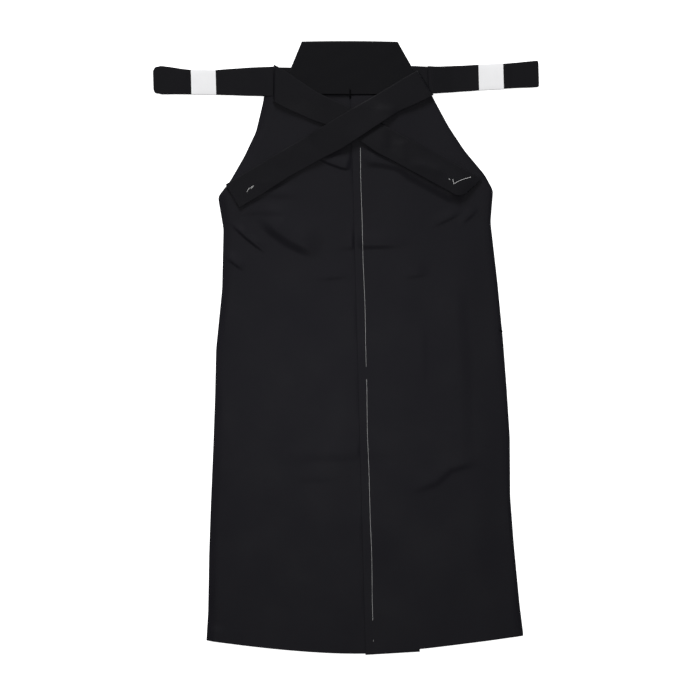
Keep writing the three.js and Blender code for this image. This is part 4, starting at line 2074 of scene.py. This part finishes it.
@dataclass
class Studio:
    """Plain pale floor, soft light and the camera.

    Attributes:
        centre: Spot that the camera looks at.
        aim: Height of that spot.
        seen: Width of the view at that height, in metres.
        height: Height of the camera over it, in metres.
        roll: Turn of the view, as the sideways part of its upward direction.
        sensor: Width of the camera's sensor.
        floor_size: Side of the floor, in metres.
        floor_gap: How far it lies below the garment, in metres.
        white: Shade of the floor.
        glow: Strength of its own light.
        sky: Strength of the sky.
    """

    layout: Layout
    centre: Spot = (-13.0, 525.0)
    aim: float = 8.0
    seen: float = 1.19
    height: float = 3.0
    roll: float = 0.0267
    sensor: float = 36.0
    floor_size: float = 14.0
    floor_gap: float = 0.0004
    white: float = 0.9
    glow: float = 0.8
    sky: float = 0.35

    def floor(self) -> None:
        """Lays the floor, just under the garment."""
        bpy.ops.object.select_all(action="DESELECT")
        bpy.ops.mesh.primitive_plane_add(size=self.floor_size, location=(0.0, 0.0, -self.floor_gap))
        ground = bpy.context.active_object
        ground.name = "studio_floor"
        bpy.ops.object.transform_apply(location=True, rotation=False, scale=False)
        maker = Maker("studio_white")
        white = (self.white, self.white, self.white, 1.0)
        maker.plain(Base_Color=white, Roughness=0.9, Specular_IOR_Level=0.0)
        maker.plain(Emission_Color=white, Emission_Strength=self.glow)
        ground.data.materials.append(maker.material)

    def lights(self) -> None:
        """Hangs a key light beyond the board's end, a soft one overhead and a dim sky."""
        self._area("key_light", place=(-0.5, 4.2, 2.6), size=1.6, power=215.0)
        self._area("overhead_light", place=(-0.16, -0.3, 3.4), size=1.3, power=31.0)
        world = bpy.data.worlds.new("studio_sky")
        world.use_nodes = True
        back = world.node_tree.nodes["Background"]
        back.inputs["Color"].default_value = (1.0, 1.0, 1.0, 1.0)
        back.inputs["Strength"].default_value = self.sky
        bpy.context.scene.world = world

    def _area(self, name: str, place: tuple[float, float, float], size: float, power: float) -> None:
        """Adds a square light that faces the garment.

        Args:
            name: Its name.
            place: Its place.
            size: Its side, in metres.
            power: Its power, in watts.
        """
        data = bpy.data.lights.new(name, "AREA")
        data.size = size
        data.energy = power
        light = bpy.data.objects.new(name, data)
        way = Vector((0.0, 0.0, 0.0)) - Vector(place)
        turn = way.to_track_quat("-Z", "Y").to_matrix().to_4x4()
        light.matrix_world = Matrix.Translation(place) @ turn
        bpy.context.scene.collection.objects.link(light)

    def camera(self) -> None:
        """Sets the camera straight above the garment, turned a little."""
        target = Vector(self.layout.place(*(np.array(value) for value in (*self.centre, self.aim))))
        data = bpy.data.cameras.new("camera")
        data.sensor_width = self.sensor
        data.lens = self.sensor * self.height / self.seen
        camera = bpy.data.objects.new("camera", data)
        up = Vector((self.roll, 1.0, 0.0)).normalized()
        right = up.cross(Vector((0.0, 0.0, 1.0)))
        turn = Matrix((right, up, Vector((0.0, 0.0, 1.0)))).transposed().to_4x4()
        camera.matrix_world = Matrix.Translation(target + Vector((0.0, 0.0, self.height))) @ turn
        bpy.context.scene.collection.objects.link(camera)
        bpy.context.scene.camera = camera
        bpy.context.scene.view_settings.view_transform = "Standard"


# The creases of the back's upper cloth: route, rise, reach, form, fade and steep side of each
BACK_CREASES = (
    Crease(((-212, 301), (-182, 330), (-147, 359)), 3.0, 10.0, Form.TUCK, 0.36, 4.6),
    Crease(((-226, 356), (-206, 371), (-186, 387)), 2.4, 13.0, Form.TUCK, 0.4, 4.4),
    Crease(((-164, 288), (-134, 315), (-110, 333), (-54, 363)), 5.4, 34.0, Form.TUCK, 0.34, 19.0),
    Crease(((-214, 286), (-160, 284), (-100, 287)), 1.4, 14.0, Form.TUCK, 0.45, 10.0),
    Crease(((-176, 250), (-125, 255), (-80, 258)), 1.7, 14.0, Form.TUCK, 0.45, 12.0),
    Crease(((-66, 298), (-40, 318), (-12, 343)), 0.8, 20.0, Form.SOFT, 0.4),
    Crease(((-64, 193), (-38, 206), (-20, 213), (-3, 217)), 3.0, 19.0, Form.TUCK, 0.16, 5.0),
    Crease(((8, 202), (45, 205), (72, 211), (104, 224)), 4.2, 24.0, Form.TUCK, 0.3, 15.0),
    Crease(((76, 212), (105, 229), (150, 255), (188, 277)), 6.0, 16.0, Form.TUCK, 0.22, 19.0),
    Crease(((124, 320), (158, 306), (190, 290)), 1.6, 12.0, Form.TUCK, 0.42, 7.0),
    Crease(((176, 318), (213, 288)), 1.5, 11.0, Form.TUCK, 0.42, 7.0),
    Crease(((-44, 350), (0, 346), (100, 347)), 2.8, 20.0, Form.TUCK, 0.42, 11.0),
    Crease(((-76, 400), (0, 396)), 1.6, 16.0, Form.TUCK, 0.45, 10.0),
    Crease(((72, 401), (128, 397)), 1.6, 16.0, Form.TUCK, 0.45, 10.0),
    Crease(((-160, 702), (-70, 698), (84, 696)), 1.2, 14.0, Form.TUCK, 0.4, 20.0),
    Crease(((-130, 740), (-88, 738), (-30, 740)), 0.9, 18.0, Form.TUCK, 0.45, 14.0),
    Crease(((171, 756), (172, 560), (165, 398)), 1.4, 30.0, Form.TUCK, 0.2, 24.0),
    Crease(((110, 610), (109, 470)), 0.8, 16.0, Form.TUCK, 0.4, 12.0),
    Crease(((76, 768), (125, 752), (152, 730), (208, 716)), 2.0, 16.0, Form.TUCK, 0.3, 11.0),
    Crease(((-258, 985), (-262, 1030)), 1.6, 16.0),
)


def main() -> None:
    """Builds the garment in order and dresses it."""
    logging.basicConfig(level=logging.INFO, format="%(message)s")
    wardrobe = Wardrobe()
    layout = Layout.from_board(foot_left=-121.0, corner_down=-1.849)
    body = Body(creases=BACK_CREASES)
    board = BackBoard(layout)
    panels = BackPanels(body, layout)
    fronts = FrontPanels(body, layout)
    gussets = Gussets(body, layout)
    for side, left in (("left", True), ("right", False)):
        finish_piece(fronts.panel(left), wardrobe.cloth, [f"front_panel_{side}"])
        finish_piece(gussets.gusset(left), wardrobe.cloth, [f"crotch_gusset_{side}"])
    finish_piece(Waistband(layout).build(), wardrobe.cloth, ["front_waistband"])
    finish_piece(panels.left(), wardrobe.cloth, ["back_panel_left"])
    finish_piece(panels.right(), wardrobe.cloth, ["back_panel_right"])
    finish_piece(board.build(), wardrobe.shaded_board_cloth, ["koshiita_board"])

    back_ties = (
        BackTie(
            layout,
            left=True,
            stations=(
                (60, 66, 48), (100, 65.5, 49.4), (126, 64.8, 50.4), (150, 64.4, 49.8), (178, 63.8, 47.6),
                (228, 63.5, 41.6), (271, 61.9, 41.8), (291, 60.2, 44), (322, 57, 48), (336, 56.8, 45),
            ),
            fold=123.0,
            end=335.0,
            band=250.0,
            runs=(Run(0, -1.5), Run(0.5, -0.7), Run(-0.3, 0.0)),
            corner=7.0,
        ),
        BackTie(
            layout,
            left=False,
            stations=(
                (60, 68, 49), (105, 68.3, 49.4), (135, 69.4, 47.3), (145, 69.5, 46.2), (180, 68.4, 45),
                (217, 67.2, 43.6), (262, 66, 43), (290, 64.6, 44), (321, 63.5, 45),
            ),
            fold=133.0,
            end=320.0,
            band=239.5,
            runs=(Run(0, -1.0), Run(-0.5, -0.8), Run(0.2, 0.0)),
            corner=3.0,
        ),
    )
    for tie in back_ties:
        finish_piece(tie.build(), wardrobe.shaded_tie_cloth, [f"back_tie_{tie.side}"])
        finish_piece(tie.build_band(), wardrobe.paper, [f"tie_band_{tie.side}"])

    def back(across: Array, down: Array) -> Array:
        """Upper face of the board and the back panels."""
        cloth = body.surface(across, down) + CLOTH / 2
        return np.where(board.contains(across, down), board.upper, cloth)

    lower = FrontTie(
        layout,
        left=True,
        start=(-127.0, 65.0),
        end=(200.0, 256.0),
        under=back,
        near_skew=0.52,
        far_skew=-0.33,
        edges=(
            (0, 0, 9), (21, -1, 8.8), (40, -3, 8), (52, -4, 7.2), (75, -6, 5.6), (93, -5, 3.6),
            (111, -4, 0.8), (145, -2, -4), (180, 0, -3), (220, 0, 1), (260, 0, 0), (380, 0, 0),
        ),
        corner=13.0,
        runs=(Run(0.6, -2.0), Run(-0.8, -1.0), Run(0.6, -1.4), Run(-0.4, -0.6), Run(0, 0)),
        creases=(
            Crease(((194, -21), (204, 0), (216, 21)), 0.7, 9.0, Form.SOFT, 0.2),
            Crease(((214, -21), (224, 0), (234, 14)), -0.6, 6.0, Form.SOFT, 0.3),
            Crease(((233, -16), (243, -2), (256, 21)), 0.8, 10.0, Form.SOFT, 0.25),
            Crease(((262, 21), (290, 6), (330, 0)), 0.9, 8.0),
            Crease(((30, -12), (80, 4), (120, 8)), 0.7, 9.0),
        ),
    )

    def back_and_tie(across: Array, down: Array) -> Array:
        """Upper face of the back with the lower tie on it."""
        return np.maximum(back(across, down), lower.top(across, down))

    upper = FrontTie(
        layout,
        left=False,
        start=(123.0, 75.0),
        end=(-205.0, 258.0),
        under=back_and_tie,
        near_skew=0.04,
        far_skew=0.0,
        edges=(
            (0, 3.4, 0), (16, 2.6, 0), (60, -2.5, 0), (110, 0, 0), (173, 2.5, 0), (215, 0, 0),
            (280, -2.5, 0), (330, 0, 0), (376, 0, 0),
        ),
        corner=0.0,
        runs=(Run(-0.6, -1.6), Run(0.8, -1.0), Run(-0.5, -1.4), Run(0.3, -0.6), Run(0, 0)),
        creases=(
            Crease(((60, -20), (95, 4)), 0.6, 7.0),
            Crease(((170, -16), (200, 0), (214, 20)), 0.6, 8.0),
            Crease(((240, 18), (290, 4)), 0.6, 8.0),
            Crease(((300, -18), (330, -4)), 0.5, 7.0),
        ),
    )
    for tie, side in ((lower, "left"), (upper, "right")):
        finish_piece(tie.build(), wardrobe.shaded_tie_cloth, [f"front_tie_{side}"])

    def everything(across: Array, down: Array) -> Array:
        """Upper face of all that is laid on the back."""
        return np.maximum(back_and_tie(across, down), upper.top(across, down))

    finish_piece(Basting(layout, body.surface).build(), wardrobe.thread)
    finish_piece(Tacks(layout, everything).build(), wardrobe.thread)
    finish_piece(Knots(layout, everything).build(), wardrobe.black_thread)

    studio = Studio(layout)
    studio.floor()
    studio.lights()
    studio.camera()


if __name__ == "__main__":
    main()
